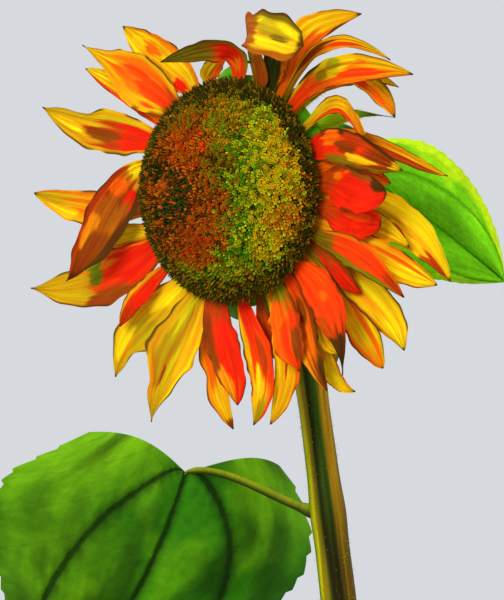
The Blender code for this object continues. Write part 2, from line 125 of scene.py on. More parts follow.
class Finish:
    """A material around one Principled shader."""

    def __init__(self, name, roughness, gloss=SOFT_GLOSS):
        self.material = bpy.data.materials.new(name)
        self.material.use_nodes = True
        self.tree = self.material.node_tree
        self.shader = self.tree.nodes["Principled BSDF"]
        self.set("Roughness", roughness)
        self.set("Specular IOR Level", gloss)

    def feed(self, socket, value):
        if isinstance(value, Wire):
            self.tree.links.new(value.socket, socket)
        elif socket.type == "RGBA":
            socket.default_value = (*value, 1.0)
        else:
            socket.default_value = value

    def set(self, socket, value):
        self.feed(self.shader.inputs[socket], value)

    def node(self, kind, settings=None, inputs=None, output=0):
        made = self.tree.nodes.new(kind)
        for name, value in (settings or {}).items():
            setattr(made, name, value)
        for socket, value in (inputs or {}).items():
            self.feed(made.inputs[socket], value)
        return Wire(self, made.outputs[output])

    def place(self):
        return self.node("ShaderNodeTexCoord", output="Object")

    def attribute(self, name):
        return self.node("ShaderNodeAttribute", {"attribute_name": name}, output="Vector")

    def split(self, vector):
        return [self.node("ShaderNodeSeparateXYZ", inputs={0: vector}, output=i) for i in range(3)]

    def join(self, x, y, z):
        return self.node("ShaderNodeCombineXYZ", inputs={0: x, 1: y, 2: z})

    def noise(self, vector, scale, detail=2.0):
        return self.node("ShaderNodeTexNoise", inputs={"Vector": vector, "Scale": scale, "Detail": detail})

    def step(self, value, low, high):
        inputs = {0: value, 1: low, 2: high}
        return self.node("ShaderNodeMapRange", {"interpolation_type": "SMOOTHSTEP"}, inputs)

    def mix(self, first, second, share):
        return self.node("ShaderNodeMix", {"data_type": "RGBA"}, {0: share, 6: first, 7: second}, 2)

    def brighten(self, colour, share):
        return self.node("ShaderNodeVectorMath", {"operation": "SCALE"}, {0: colour, "Scale": share})

    def bump(self, height, depth):
        self.set("Normal", self.node("ShaderNodeBump", inputs={"Distance": depth, "Height": height}))


print("a finish has", sum(callable(way) for way in vars(Finish).values()), "methods")

# %% [markdown]
# The flower's colours run from lemon through orange and scarlet to a burnt brown, and the leaves' from
# a yellow spring green to nearly black. They are named here once, in linear light, and every piece
# deals them out by name. Picking colours by eye for each piece would let them drift apart.

# %% Colours
PALETTE = {
    "lemon": (0.93, 0.58, 0.004), "gold": (0.84, 0.42, 0.003), "amber": (0.84, 0.25, 0.003),
    "orange": (0.90, 0.13, 0.002), "flame": (0.90, 0.048, 0.002), "scarlet": (0.80, 0.016, 0.002),
    "brick": (0.50, 0.042, 0.002), "sienna": (0.40, 0.090, 0.002), "rust": (0.27, 0.045, 0.002),
    "umber": (0.085, 0.026, 0.002), "bronze": (0.20, 0.11, 0.002), "ochre": (0.42, 0.21, 0.002),
    "mustard": (0.46, 0.31, 0.003), "olive": (0.20, 0.15, 0.002), "honey": (0.62, 0.34, 0.003),
    "moss": (0.030, 0.040, 0.002), "leafy": (0.17, 0.22, 0.003), "lime": (0.38, 0.42, 0.004),
    "spring": (0.42, 0.74, 0.006), "grass": (0.11, 0.42, 0.003), "meadow": (0.19, 0.66, 0.004),
    "fern": (0.060, 0.185, 0.002), "ivy": (0.024, 0.105, 0.002), "pine": (0.005, 0.020, 0.001),
    "clover": (0.028, 0.165, 0.002), "sprig": (0.18, 0.45, 0.003), "sprout": (0.50, 0.74, 0.006),
    "straw": (0.55, 0.46, 0.10),
}


def colour_of(name):
    return Vector(PALETTE[name])


def smooth(share):
    """Nothing at 0, one from 1 on, level at both ends."""
    share = min(max(share, 0.0), 1.0)
    return share * share * (3 - 2 * share)


def blend(first, second, share):
    return first.lerp(second, min(max(share, 0.0), 1.0))


print(f"{len(PALETTE)} colours")

# %% [markdown]
# Every piece ends in the same way. Its faces are turned outwards, it gets its finish, it rides with the
# plant and it stands for a solid, which is then hidden.

# %% Showing a piece
SHARP_ANGLE = math.radians(55)


def turn_outwards(shape):
    bmesh.ops.recalc_face_normals(shape, faces=shape.faces[:])
    if shape.calc_volume(signed=True) < 0:
        bmesh.ops.reverse_faces(shape, faces=shape.faces[:])


def show(name, mesh, finish, node):
    """Makes a piece that stands for the node."""
    mesh.materials.append(finish.material)
    mesh.shade_smooth()
    mesh.set_sharp_from_angle(angle=SHARP_ANGLE)
    made = bpy.data.objects.new(name, mesh)
    bpy.context.collection.objects.link(made)
    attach(made, "root")
    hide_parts(node)
    return made


def show_shape(name, shape, finish, node, slot):
    turn_outwards(shape)
    mesh = bpy.data.meshes.new(name)
    shape.to_mesh(mesh)
    shape.free()
    return show(name, mesh, finish, node)


print("edges sharper than", round(math.degrees(SHARP_ANGLE)), "degrees stay sharp")

# %% [markdown]
# Hundreds of florets or hairs are one piece. A template is a small closed shape, kept as arrays of points
# and corners. Arrays of places turn and move its points all at once, which is far quicker than one
# object for each copy.

# %% Many copies as one piece
def show_many(name, template, places, finish, node):
    """One piece of many copies of the template's points and triangles, one at each place."""
    points, corners = template
    turned = np.array([np.array(place) for place in places])
    spots = np.einsum("nij,kj->nki", turned[:, :3, :3], points) + turned[:, None, :3, 3]
    faces = corners[None] + len(points) * np.arange(len(places))[:, None, None]
    mesh = bpy.data.meshes.new(name)
    mesh.from_pydata(spots.reshape(-1, 3), [], faces.reshape(-1, 3))
    return show(name, mesh, finish, node)


def template_of(shape):
    """The points and triangles of a small closed shape."""
    bmesh.ops.triangulate(shape, faces=shape.faces[:])
    bmesh.ops.recalc_face_normals(shape, faces=shape.faces[:])
    shape.verts.index_update()
    points = np.array([vert.co[:] for vert in shape.verts])
    corners = np.array([[vert.index for vert in face.verts] for face in shape.faces])
    shape.free()
    return points, corners


def facing(point, outward, spin=0.0, size=1.0):
    """A place whose Z looks outward, turned about it by spin."""
    turn = outward.to_track_quat("Z", "Y") @ Quaternion((0, 0, 1), spin)
    return Matrix.LocRotScale(point, turn, (size, size, size))


print("a place that faces up:", facing(Vector(), Vector((0, 0, 1))))

# %% [markdown]
# The disk's bed and the cup are round about one axis. `spin` turns their outline about it and merges
# the last step with the first, and merging what is left on the axis closes the ends.

# %% Round shapes
MERGE_REACH = 1e-6


def spun(profile, segments):
    """A closed solid of revolution about Z from (radius, height) points."""
    shape = bmesh.new()
    verts = [shape.verts.new((radius, 0, height)) for radius, height in profile]
    edges = [shape.edges.new(pair) for pair in zip(verts, verts[1:])]
    bmesh.ops.spin(shape, geom=verts + edges, cent=(0, 0, 0), axis=(0, 0, 1), angle=2 * math.pi,
                   steps=segments, use_merge=True)
    bmesh.ops.remove_doubles(shape, verts=shape.verts[:], dist=MERGE_REACH)
    return shape


print("points nearer than", MERGE_REACH, "m merge")

# %% [markdown]
# The head has its own axes: its face is the XY plane, X to its right and Y up, and Z is the way that it
# looks. All of the head is worked out there, and one matrix puts it on the plant, turned and nodding.

# %% The head's axes
HEAD_CENTRE = Vector((-0.123, -0.061, 1.275))
HEAD_TURN = 38.0  # degrees from -Y towards -X
HEAD_NOD = 1.5


def polar(radius, degrees, rise=0.0):
    """A point of the head."""
    angle = math.radians(degrees)
    return Vector((radius * math.cos(angle), radius * math.sin(angle), rise))


def head_matrix():
    turn, nod = math.radians(HEAD_TURN), math.radians(HEAD_NOD)
    forward = Vector((-math.sin(turn) * math.cos(nod), -math.cos(turn) * math.cos(nod), -math.sin(nod)))
    up = (Vector((0, 0, 1)) - forward * forward.z).normalized()
    right = up.cross(forward)
    axes = Matrix((right, up, forward)).transposed().to_4x4()
    return Matrix.Translation(HEAD_CENTRE) @ axes


HEAD = head_matrix()
print("the head looks along", [round(share, 2) for share in HEAD.col[2][:3]])

# %% [markdown]
# The disk is a dome packed with small tube-shaped florets. They sit on a spiral that turns by the golden
# angle from one to the next, which is how the plant packs them. Those in the middle are still
# closed buds, and those further out have opened their five teeth. A bed under them closes the dome, so
# that no light comes through. A bumpy texture on a smooth dome would be lighter, but it loses the
# ragged edge that a ripe disk has.

# %% The dome and its bed
DISK_RADIUS = 75 * MM
DOME_FOOT = 6.5 * MM  # the height of the dome's edge
DOME_HEIGHT = 29 * MM
DOME_FLATNESS = 2.2
DOME_FULLNESS = 0.62
SEAT = 1.5 * MM
BED_DEPTH = 3.5 * MM
BED_EDGE_DROP = 1.2 * MM
BED_SINK_SHARE = 0.8
BED_RINGS = 24
BED_SEGMENTS = 72
SLOPE_STEP = 0.1 * MM


def dome_height(radius):
    share = min(radius / DISK_RADIUS, 1.0)
    return DOME_FOOT + DOME_HEIGHT * (1 - share**DOME_FLATNESS) ** DOME_FULLNESS


def dome_outward(x, y):
    """The way that the dome's face looks at this place."""
    radius = max(math.hypot(x, y), SLOPE_STEP)
    fall = (dome_height(radius - SLOPE_STEP / 2) - dome_height(radius + SLOPE_STEP / 2)) / SLOPE_STEP
    return Vector((x / radius * fall, y / radius * fall, 1)).normalized()


def bed_shape():
    """The dome, smaller all round by the florets' depth."""
    bed_radius = DISK_RADIUS - BED_DEPTH
    radii = [bed_radius * math.sin(math.pi / 2 * i / BED_RINGS) for i in range(BED_RINGS + 1)]
    profile = [(0, SEAT), (bed_radius, DOME_FOOT - BED_EDGE_DROP)]
    scale = DISK_RADIUS / bed_radius
    sink = BED_DEPTH * BED_SINK_SHARE
    profile += [(radius, dome_height(radius * scale) - sink) for radius in reversed(radii)]
    shape = spun(profile, BED_SEGMENTS)
    shape.transform(HEAD)
    return shape


def bed_finish():
    finish = Finish("disk_bed", 0.9, 0.1)
    mottle = finish.noise(finish.place(), 260, 3)
    finish.set("Base Color", finish.mix(PALETTE["moss"], PALETTE["umber"], finish.step(mottle, 0.4, 0.6)))
    finish.bump(mottle, 0.002)
    return finish


show_shape("disk_bed", bed_shape(), bed_finish(), "seed_disk", "disk_brown")
print("the dome is", round((DOME_FOOT + DOME_HEIGHT) / MM, 1), "mm deep")

# %% [markdown]
# The florets come in three forms: a bud, an open tube with its five teeth bent out, and the thin tip of
# an anther. A pointed scale and a hair are made in the same way: once, from a few rings of three to
# five points, joined by `bridge_loops`.

# %% The florets' forms
Ring = namedtuple("Ring", "radius height turn")


def ringed(rings, sides):
    """A closed form through the rings, in millimetres and degrees."""
    shape = bmesh.new()
    loops = []
    for ring in rings:
        turn = Matrix.Rotation(math.radians(ring.turn), 4, "Z")
        place = Matrix.Translation((0, 0, ring.height * MM)) @ turn
        made = bmesh.ops.create_circle(shape, radius=ring.radius * MM, segments=sides, matrix=place)
        verts = set(made["verts"])
        loops.append([edge for edge in shape.edges if edge.verts[0] in verts])
    for lower, upper in zip(loops, loops[1:]):
        bmesh.ops.bridge_loops(shape, edges=lower + upper)
    for loop in (loops[0], loops[-1]):
        bmesh.ops.contextual_create(shape, geom=loop)
    return template_of(shape)


BUD = ringed([Ring(0.8, -5, 0), Ring(1.35, -1.6, 0), Ring(1.0, -0.3, 20), Ring(0.25, 0.5, 40)], 5)
OPEN = ringed([Ring(0.8, -5, 0), Ring(1.1, -1.5, 0), Ring(1.75, 0.3, 12), Ring(0.85, -0.7, 12)], 5)
ANTHER = ringed([Ring(0.5, -2, 0), Ring(0.45, 1.6, 0), Ring(0.12, 2.6, 30)], 3)
SCALE = ringed([Ring(1.3, -4, 0), Ring(1.1, 0.5, 0), Ring(0.15, 4.2, 0)], 4)
for form, (points, corners) in {"bud": BUD, "open": OPEN, "anther": ANTHER, "scale": SCALE}.items():
    print(form, len(points), "points,", len(corners), "triangles")

# %% [markdown]
# On the real disk the colour follows the florets' age in rings, round a middle that is not quite the
# dome's own. From there out come dark green buds, a wide rusty ring, a green one and a straw-coloured
# one. The nearly black rim is painted shade where the dome turns away, and the darker foot at the bottom
# of the disk is painted shade too. No disk keeps to its rings, so patches lie over them. Each row is a
# mix of colours, with the share that each of them has.

# %% The mixes of colours on the disk
Zone = namedtuple("Zone", "reach tones")  # millimetres from the middle of the rings, and the mix inside
RINGS_MIDDLE = Vector((-28, 0))
RINGS_TALLNESS = 1.6
ZONES = [
    Zone(14, {"moss": 6, "umber": 3, "pine": 3, "leafy": 1}),
    Zone(26, {"rust": 4, "umber": 5, "sienna": 2, "moss": 3}),
    Zone(41, {"rust": 4, "sienna": 6, "umber": 3, "brick": 3}),
    Zone(50, {"bronze": 5, "sienna": 3, "rust": 2, "olive": 3}),
    Zone(66, {"leafy": 5, "fern": 3, "lime": 2, "moss": 2, "olive": 2}),
    Zone(80, {"mustard": 5, "lime": 2, "olive": 3, "honey": 1, "leafy": 2}),
    Zone(93, {"mustard": 6, "honey": 1, "lime": 2, "ochre": 2, "olive": 2}),
    Zone(999, {"ochre": 5, "bronze": 3, "sienna": 2, "umber": 1}),
]
# painted shade: the dark rim where the dome turns away
SHADED_RIM = Zone(64.5, {"umber": 5, "moss": 5, "bronze": 4, "leafy": 2})
RIM_MIDDLE = Vector((5.5, 0))
RIM_TALLNESS = 0.96
# painted shade: the darker bottom of the disk
SHADED_FOOT = Zone(-49, {"moss": 4, "bronze": 4, "leafy": 5, "olive": 2, "umber": 2})
Patch = namedtuple("Patch", "x y reach tones")
PATCHES = [
    Patch(-40, 3, 7, {"rust": 5, "sienna": 2, "umber": 2}),
    Patch(-43, 14, 9, {"moss": 5, "pine": 3, "umber": 3}),
    Patch(-43, -14, 11, {"moss": 5, "pine": 3, "umber": 3}),
    Patch(-20, 29, 16, {"sienna": 6, "rust": 3, "flame": 1, "ochre": 2}),
    Patch(12, 50, 17, {"ochre": 4, "bronze": 4, "leafy": 2, "sienna": 2}),
    Patch(-26, 48, 14, {"bronze": 4, "olive": 4, "leafy": 1}),
    Patch(10, 18, 13, {"bronze": 5, "olive": 3, "umber": 3, "sienna": 2}),
    Patch(33, 50, 10, {"lime": 4, "leafy": 4, "mustard": 2}),
    Patch(47, -47, 11, {"mustard": 5, "lime": 3, "ochre": 2}),
    Patch(62, -24, 12, {"sienna": 4, "ochre": 4, "bronze": 2}),
    Patch(-12, -36, 15, {"sienna": 4, "rust": 4, "brick": 2, "umber": 3}),
    Patch(24, -48, 10, {"leafy": 4, "fern": 4, "moss": 2}),
]
print(len(ZONES), "rings,", len(PATCHES), "patches, a rim and a foot")

# %% [markdown]
# Each floret is one plain colour of the mix at its place. The distance that picks the mix is read with
# a drift, part clumps and part chance, so that the rings run into each other. The painted shade of the
# rim and of the foot, and the patches, follow the drift less, which keeps their outlines.

# %% Which colour a floret has
CLUMP = 9.0  # millimetres
CLUMP_DRIFT = 12.0
SCATTER = 6.0  # how far single florets stray into the next ring
RIM_DRIFT_SHARE = 0.4
FOOT_DRIFT_SHARE = 0.8
PATCH_DRIFT_SHARE = 0.9
TONE_CLUMP = (6.5, 2.8)  # millimetres: neighbours nearer than this have much the same pick
SHARED_PICK = 0.45


def floret_tones(x, y, stray):
    """The mix of colours at this place of the disk, in millimetres."""
    drift = noise.noise((x / CLUMP, y / CLUMP, 0.3)) * CLUMP_DRIFT + stray
    rim_away = math.hypot(x - RIM_MIDDLE.x, (y - RIM_MIDDLE.y) / RIM_TALLNESS)
    if rim_away + drift * RIM_DRIFT_SHARE > SHADED_RIM.reach:
        return SHADED_RIM.tones
    if y + drift * FOOT_DRIFT_SHARE < SHADED_FOOT.reach:
        return SHADED_FOOT.tones
    for patch in PATCHES:
        if math.hypot(x - patch.x, y - patch.y) + drift * PATCH_DRIFT_SHARE < patch.reach:
            return patch.tones
    away = math.hypot(x - RINGS_MIDDLE.x, (y - RINGS_MIDDLE.y) / RINGS_TALLNESS) + drift
    return next(zone.tones for zone in ZONES if away < zone.reach)


def floret_tone(x, y, dice):
    """One colour of the mix: neighbours mostly agree, as the noise is shared."""
    tones = floret_tones(x, y, dice.gauss(0, SCATTER))
    shared = noise.noise((x / TONE_CLUMP[0], y / TONE_CLUMP[1], 7.1)) * 0.9 + 0.5
    pick = SHARED_PICK * shared + (1 - SHARED_PICK) * dice.random()
    pick = min(max(pick, 0.0), 0.999) * sum(tones.values())
    for tone, share in tones.items():
        pick -= share
        if pick < 0:
            return tone
    return tone


def plain_finish(name, tone, roughness=0.8):
    """A plain colour with a fine grain that has no place of its own."""
    finish = Finish(f"{name}_{tone}", roughness)
    grain = finish.noise(finish.place(), 900, 1)
    finish.set("Base Color", finish.brighten(PALETTE[tone], grain * 0.9 + 0.65))
    return finish


print("the middle of the disk is dealt", ", ".join(floret_tones(0, 0, 0)))

# %% [markdown]
# Now the spiral itself. A floret's number gives its distance from the middle and its turn, and chance
# tilts, sinks and sizes it a little. Florets of one form and colour make one piece.

# %% The florets on their spiral
FLORETS = 3700
GOLDEN_ANGLE = 137.508
BUD_REACH = 20.0  # florets nearer than this to the rings' middle are buds
LATE_BUDS = 0.3  # the share of buds further out
FLORET_TILT = 0.22
FLORET_SIZES = (0.74, 1.02)
FLORET_DEPTHS = (-0.9, 0.6)
OUTER_SWELL = 0.12
FORMS = {"bud": BUD, "open": OPEN, "anther": ANTHER}


def floret_places(dice):
    """{(form, tone): places} for the whole disk."""
    places = {}
    for i in range(FLORETS):
        radius = DISK_RADIUS * math.sqrt((i + 0.5) / FLORETS)
        point = polar(radius, i * GOLDEN_ANGLE)
        x, y = point.x / MM, point.y / MM
        outward = dome_outward(point.x, point.y)
        tilt = Vector([dice.uniform(-FLORET_TILT, FLORET_TILT) for _ in range(3)])
        size = dice.uniform(*FLORET_SIZES) * (1.0 + OUTER_SWELL * radius / DISK_RADIUS)
        point.z = dome_height(radius) + dice.uniform(*FLORET_DEPTHS) * MM
        place = HEAD @ facing(point, (outward + tilt).normalized(), dice.uniform(0, 2 * math.pi), size)
        away = math.hypot(x - RINGS_MIDDLE.x, y - RINGS_MIDDLE.y)
        form = "bud" if away < BUD_REACH or dice.random() < LATE_BUDS else "open"
        tone = floret_tone(x, y, dice)
        places.setdefault((form, tone), []).append(place)
        if form == "open":
            places.setdefault(("anther", floret_tone(x + 2, y, dice)), []).append(place)
    return places


for (form, tone), places in sorted(floret_places(random.Random(12)).items()):
    show_many(f"florets_{form}_{tone}", FORMS[form], places, plain_finish(f"floret_{form}", tone),
              "seed_disk")
print(FLORETS, "florets")

# %% [markdown]
# Between the disk and the petals stands a fringe of small pointed scales. It hides the petals' roots and
# makes the disk's outline ragged.

# %% The fringe
# radius, count, rise
FRINGE_ROWS = [(69.5, 210, 1.4), (71.2, 220, 1.0), (72.8, 230, 0.7), (74.2, 230, 0.4)]
FRINGE_TONES = {"umber": 5, "moss": 5, "bronze": 3}
SCALE_SIZES = (0.4, 0.7)
SCALE_SWING = 25  # degrees that a scale may lean to either side


def fringe_places(dice):
    places = {tone: [] for tone in FRINGE_TONES}
    for radius, count, rise in FRINGE_ROWS:
        for i in range(count):
            degrees = 360 * (i + dice.uniform(-0.4, 0.4)) / count
            point = polar((radius + dice.uniform(-1, 1)) * MM, degrees, dome_height(radius * MM))
            swing = dice.uniform(-SCALE_SWING, SCALE_SWING)
            outward = polar(1, degrees + swing, rise + dice.uniform(-0.3, 0.5))
            tone = dice.choices(list(FRINGE_TONES), list(FRINGE_TONES.values()))[0]
            place = facing(point, outward.normalized(), dice.uniform(0, 6), dice.uniform(*SCALE_SIZES))
            places[tone].append(HEAD @ place)
    return places


for tone, places in fringe_places(random.Random(5)).items():
    show_many(f"fringe_{tone}", SCALE, places, plain_finish("fringe", tone), "seed_disk")
print(sum(count for _, count, _ in FRINGE_ROWS), "scales in the fringe")

# %% [markdown]
# A petal is a thin channel that leaves the rim of the disk and bends to its tip. Its rule is the
# solid's: a Bezier path outside the rim, a width that swells and tapers, and a roll about the path.
# Here it has many more stations, ribs along it, a ruffled margin and a thickness that thins out to
# the edge. Each row of the table is one petal, in millimetres and degrees, from the back to the front.

# %% The table of the petals
RAY_FIELDS = "root layer tip reach rise bow arch width roll lead widest taper neck belly"
Ray = namedtuple("Ray", RAY_FIELDS, defaults=(0, 0, 0.5, 0.85, 0.48, 1))
RAYS = [
    Ray(26, 0, 2, 161, -14, 6, 1, 10),
    Ray(45, 0, 28, 137, -18, 12, -5, 9),
    Ray(58, 0, 48, 151, -6, 16, 1, 24, lead=-8),
    Ray(65, 1, 67, 101, -4, 0, -2, 20, taper=0.4),
    Ray(143, 0, 147, 164, -6, -3, 0, 15, lead=4),
    Ray(186, 0, 179, 183, 0, 6, 0, 24),
    Ray(255, 0, 268, 160, 0, -9, 0, 21),
    Ray(284, 0, 287, 120, -4, -4, -2, 16),
    Ray(311, 0, 305, 162, -4, -9, -1, 16, lead=9),
    Ray(322, 0, 313, 161, -12, 3, -2, 23, lead=10),
    Ray(357, 0, 339, 172, -16, 14, 0, 25),
    Ray(345, 0, 344, 143, -7, 7, 1, 19),
    Ray(11, 1, 1, 123, -5, 2, 2, 18),
    Ray(46, 1, 20, 130, -12, 22, -2, 13, widest=0.75, neck=0.2, belly=3),
    Ray(107, 1, 93, 91, 6, 1, 1, 13, lead=-3, taper=0.4),
    Ray(117, 1, 129, 149, 4, -2, 0, 28, lead=-5, widest=0.4, taper=0.8),
    Ray(153, 1, 159, 176, 10, 2, 3, 31, lead=-8, taper=1.15),
    Ray(199, 1, 199, 133, 4, -6, 0, 16),
    Ray(234, 1, 230, 165, 4, -5, 1, 35, taper=1.1),
    Ray(293, 1, 280, 158, 2, 14, 1, 21),
    Ray(315, 1, 308, 135, -4, -1, 0, 17, lead=10),
    Ray(328, 1, 321, 168, -8, 9, 0, 26, lead=6),
    Ray(341, 1, 339, 177, -6, 1, 1, 22, lead=9),
    Ray(34, 2, 15.2, 116, 8, 17, 3, 12, taper=0.3),
    Ray(54, 2, 32, 152, 2, 22, 3, 9),
    Ray(132, 2, 140, 162, 12, -4, 3, 36, lead=-7, widest=0.42, taper=1.7),
    Ray(208, 2, 200, 188, 12, 11, 3, 36, lead=-11, taper=1.2),
    Ray(246, 2, 246, 171, 8, -2, 4, 39, widest=0.42, taper=1.5),
    Ray(275, 2, 276, 157, 6, 12, 2, 23),
    Ray(307, 2, 301, 154, 8, 1, 3, 19),
    Ray(331, 2, 326, 123, 0, 1, 3, 13, lead=5),
    Ray(350, 2, 349, 128, 10, 0, 3, 28, taper=0.5),
    Ray(3, 3, 358, 136, 18, -1, 7, 30, taper=0.5),
    Ray(20, 3, 4, 139, 4, 5, 6, 24, lead=-5, neck=0.75),
    Ray(47, 3, 26, 161, -2, 13, 3, 19, lead=-5),
    Ray(71, 3, 44.5, 128, 44, 31, -8, 28,
        roll=-90, lead=-28, widest=0.78, taper=0.3, neck=0.45, belly=3),
    Ray(85, 3, 116.5, 98, 24, -15, 6, 23, roll=30, lead=-20, widest=0.4, taper=0.9),
    Ray(168, 3, 205, 140, 30, 1, 5, 32, lead=-4, taper=1.4),
    Ray(221, 3, 224, 131, 12, -2, 2, 15),
    Ray(258, 3, 273, 143, 10, 2, 2, 26, neck=0.75),
    Ray(299, 3, 296, 133, 8, 2, 4, 27),
    Ray(317, 3, 308, 154, 12, 13, 4, 29, widest=0.4, taper=1.8),
    Ray(336, 3, 334, 162, 4, 9, 6, 20),
]
print(len(RAYS), "petals, the longest reaching", max(ray.reach for ray in RAYS), "mm")

# %% [markdown]
# The path leaves the rim along the petal's root, halfway between the root's own direction and the pull
# of the middle, and the middle is moved sideways by the bow and up by the arch. A solid that met the
# petals behind it was lifted until it lay clear, so the lift is measured on it.

# %% A petal's path and width
RAY_ROOT = 62 * MM
RAY_RIM = 78 * MM
RAY_ROOT_WIDTH = 5 * MM
RAY_LAYERS = [-0.9 * MM, 0.65 * MM, 2.2 * MM, 3.75 * MM]
RAY_CUP = 0.10
RAY_TIP_WIDTH = 0.9 * MM
ROLL_END = 0.7
SETTLE_STEP = 1.5 * MM
SETTLE_MIDDLE = 0.35
TIP_REACH = 1.5 * MM  # the solid's points this near to the tip show its lift


def bezier(points, t):
    a, b, c, d = points
    s = 1 - t
    return a * s**3 + b * (3 * s * s * t) + c * (3 * s * t * t) + d * t**3


def ray_path(ray, lift):
    """The end of a petal's root, and the four Bezier points outside the rim."""
    height = RAY_LAYERS[ray.layer]
    start = polar(RAY_RIM, ray.root, height)
    tip = polar(ray.reach * MM, ray.tip, ray.rise * MM + lift)
    chord = tip - start
    level = Vector((chord.x, chord.y, 0)).normalized()
    side = Vector((-level.y, level.x, 0))
    middle = (start + tip) / 2 + (side * ray.bow + level * ray.lead) * MM
    middle.z += ray.arch * MM + lift * SETTLE_MIDDLE
    pull = (middle * 2 - (start + tip) / 2 - start) * (2 / 3)
    leave = start + (pull + polar(pull.length, ray.root)) / 2
    arrive = (middle * 8 - start - leave * 3 - tip) / 3
    return polar(RAY_ROOT, ray.root, height), (start, leave, arrive, tip)


def ray_width(ray, share):
    swell = math.sin(math.pi / 2 * min(1, share / ray.widest)) ** ray.belly
    swell = ray.neck + (1 - ray.neck) * swell
    taper = (1 - max(0, (share - ray.widest) / (1 - ray.widest)) ** 2) ** ray.taper
    return max(ray.width * MM * swell * taper, RAY_TIP_WIDTH)


def settled_lift(ray, node):
    """How far the solid's tip was lifted to lie clear of the petals behind it."""
    to_head = HEAD.inverted()
    tip = polar(ray.reach * MM, ray.tip)
    points = [to_head @ vert.co for vert in node.data.vertices]
    near = [point.z for point in points if (point.xy - tip.xy).length < TIP_REACH]
    return round((sum(near) / max(len(near), 1) - ray.rise * MM) / SETTLE_STEP) * SETTLE_STEP


lifts = [settled_lift(ray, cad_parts[f"ray_floret_{i:02d}"]) for i, ray in enumerate(RAYS, start=1)]
print(len(RAYS), "petals, lifted by", sorted({round(lift / MM, 1) for lift in lifts}), "mm")

# %% [markdown]
# `frames_of` walks along the petal and carries its sideways direction from one station to the next, so
# that it never flips over where the path bends.

# %% The stations along a petal
PETAL_ROWS = 56  # outside the rim
ROOT_ROWS = 3
ROOT_SHARE = 0.15  # the root counts as this much before the petal's start
CUP_FROM = 0.15
Station = namedtuple("Station", "share centre sideways normal width cup")


def frames_of(ray, lift):
    root, points = ray_path(ray, lift)
    inner = [i / ROOT_ROWS for i in range(ROOT_ROWS)]
    outer = [i / PETAL_ROWS for i in range(PETAL_ROWS + 1)]
    rim_width = ray_width(ray, 0)
    centres = [root.lerp(points[0], share) for share in inner] + [bezier(points, share) for share in outer]
    widths = [RAY_ROOT_WIDTH + (rim_width - RAY_ROOT_WIDTH) * share for share in inner]
    widths += [ray_width(ray, share) for share in outer]
    shares = [(share - 1) * ROOT_SHARE for share in inner] + outer
    across = Vector((0, 0, 1)).cross(polar(1, ray.root))
    stations = []
    for i, (share, centre, width) in enumerate(zip(shares, centres, widths)):
        ahead, behind = centres[min(i + 1, len(centres) - 1)], centres[max(i - 1, 0)]
        along = (ahead - behind).normalized() if share > 0 else polar(1, ray.root)
        across = (across - along * across.dot(along)).normalized()
        sideways = Quaternion(along, math.radians(ray.roll) * smooth(share / ROLL_END)) @ across
        cup = RAY_CUP * width * smooth(share / CUP_FROM)
        stations.append(Station(share, centre, sideways, along.cross(sideways), width, cup))
    return stations


print("the first petal has", len(frames_of(RAYS[0], lifts[0])), "stations")

# %% [markdown]
# `petal_place` says where each point of a flat grid goes: across the petal, and up or down by its ribs,
# its cup and its ruffled edge. Some margins draw in or bulge at places of their own, and these dents
# are listed by the petal's number.

# %% The petals' form
PETAL_COLUMNS = 26
PETAL_THICKNESS = 0.9 * MM
RIB_HEIGHT = 0.35 * MM
RIBS = 4
RUFFLE = 3.4 * MM
RUFFLE_WAVES = 4.2
FULL_RUFFLE_WIDTH = 18 * MM  # narrower petals have less of it
RAGGED = 0.16
RAGGED_WAVES = 9
FULL_RIB_WIDTH = 12 * MM
EDGE_THINNING = 0.6
MARGIN_SEEDS = 5  # between the noise of one margin and that of the other
# Where a margin draws in, on the -1 or +1 side. A negative depth bulges.
Dent = namedtuple("Dent", "flank along depth reach")
DENTS = {
    17: [Dent(-1, 0.70, 0.42, 0.14)],
    28: [Dent(-1, 0.70, 0.40, 0.10), Dent(-1, 0.45, -0.15, 0.10)],
    19: [Dent(1, 0.74, 0.45, 0.12), Dent(1, 0.50, -0.10, 0.10)],
    38: [Dent(-1, 0.60, 0.22, 0.14), Dent(1, 0.85, 0.35, 0.10)],
    26: [Dent(1, 0.74, 0.30, 0.12), Dent(-1, 0.80, 0.25, 0.08)],
    7: [Dent(-1, 0.55, 0.30, 0.07), Dent(-1, 0.75, -0.20, 0.08)],
    27: [Dent(-1, 0.62, 0.25, 0.10)],
    36: [Dent(1, 0.62, 0.20, 0.06), Dent(-1, 0.95, -0.40, 0.04), Dent(1, 0.90, -0.30, 0.05)],
}


def petal_place(stations, seed, dents, along, across, side):
    at = stations[round(along * (len(stations) - 1))]
    edge = abs(across)
    free = smooth(at.share * 3)
    flank = seed + (MARGIN_SEEDS if across > 0 else 0)
    ragged = noise.noise((at.share * RAGGED_WAVES, flank, 0)) * RAGGED * edge * edge * free
    ruffle = noise.noise((at.share * RUFFLE_WAVES, flank, 2)) * RUFFLE * edge**3 * free
    ruffle *= min(1, at.width / FULL_RUFFLE_WIDTH)
    narrow = min(1, at.width / FULL_RIB_WIDTH)
    rib = RIB_HEIGHT * math.cos(math.pi * RIBS * across) * (1 - edge**4) * free * narrow
    height = at.cup * (across * across - 0.5) + ruffle + rib
    height += side * PETAL_THICKNESS / 2 * (1 - EDGE_THINNING * edge)
    dent = sum(dent.depth * math.exp(-((at.share - dent.along) / dent.reach) ** 2)
               for dent in dents if dent.flank * across > 0)
    half = at.width / 2 * (1 + ragged) * (1 - dent * edge)
    return at.centre + at.sideways * (across * half) + at.normal * height


print("a petal has", (PETAL_ROWS + ROOT_ROWS) * PETAL_COLUMNS * 2, "faces on its two sides")
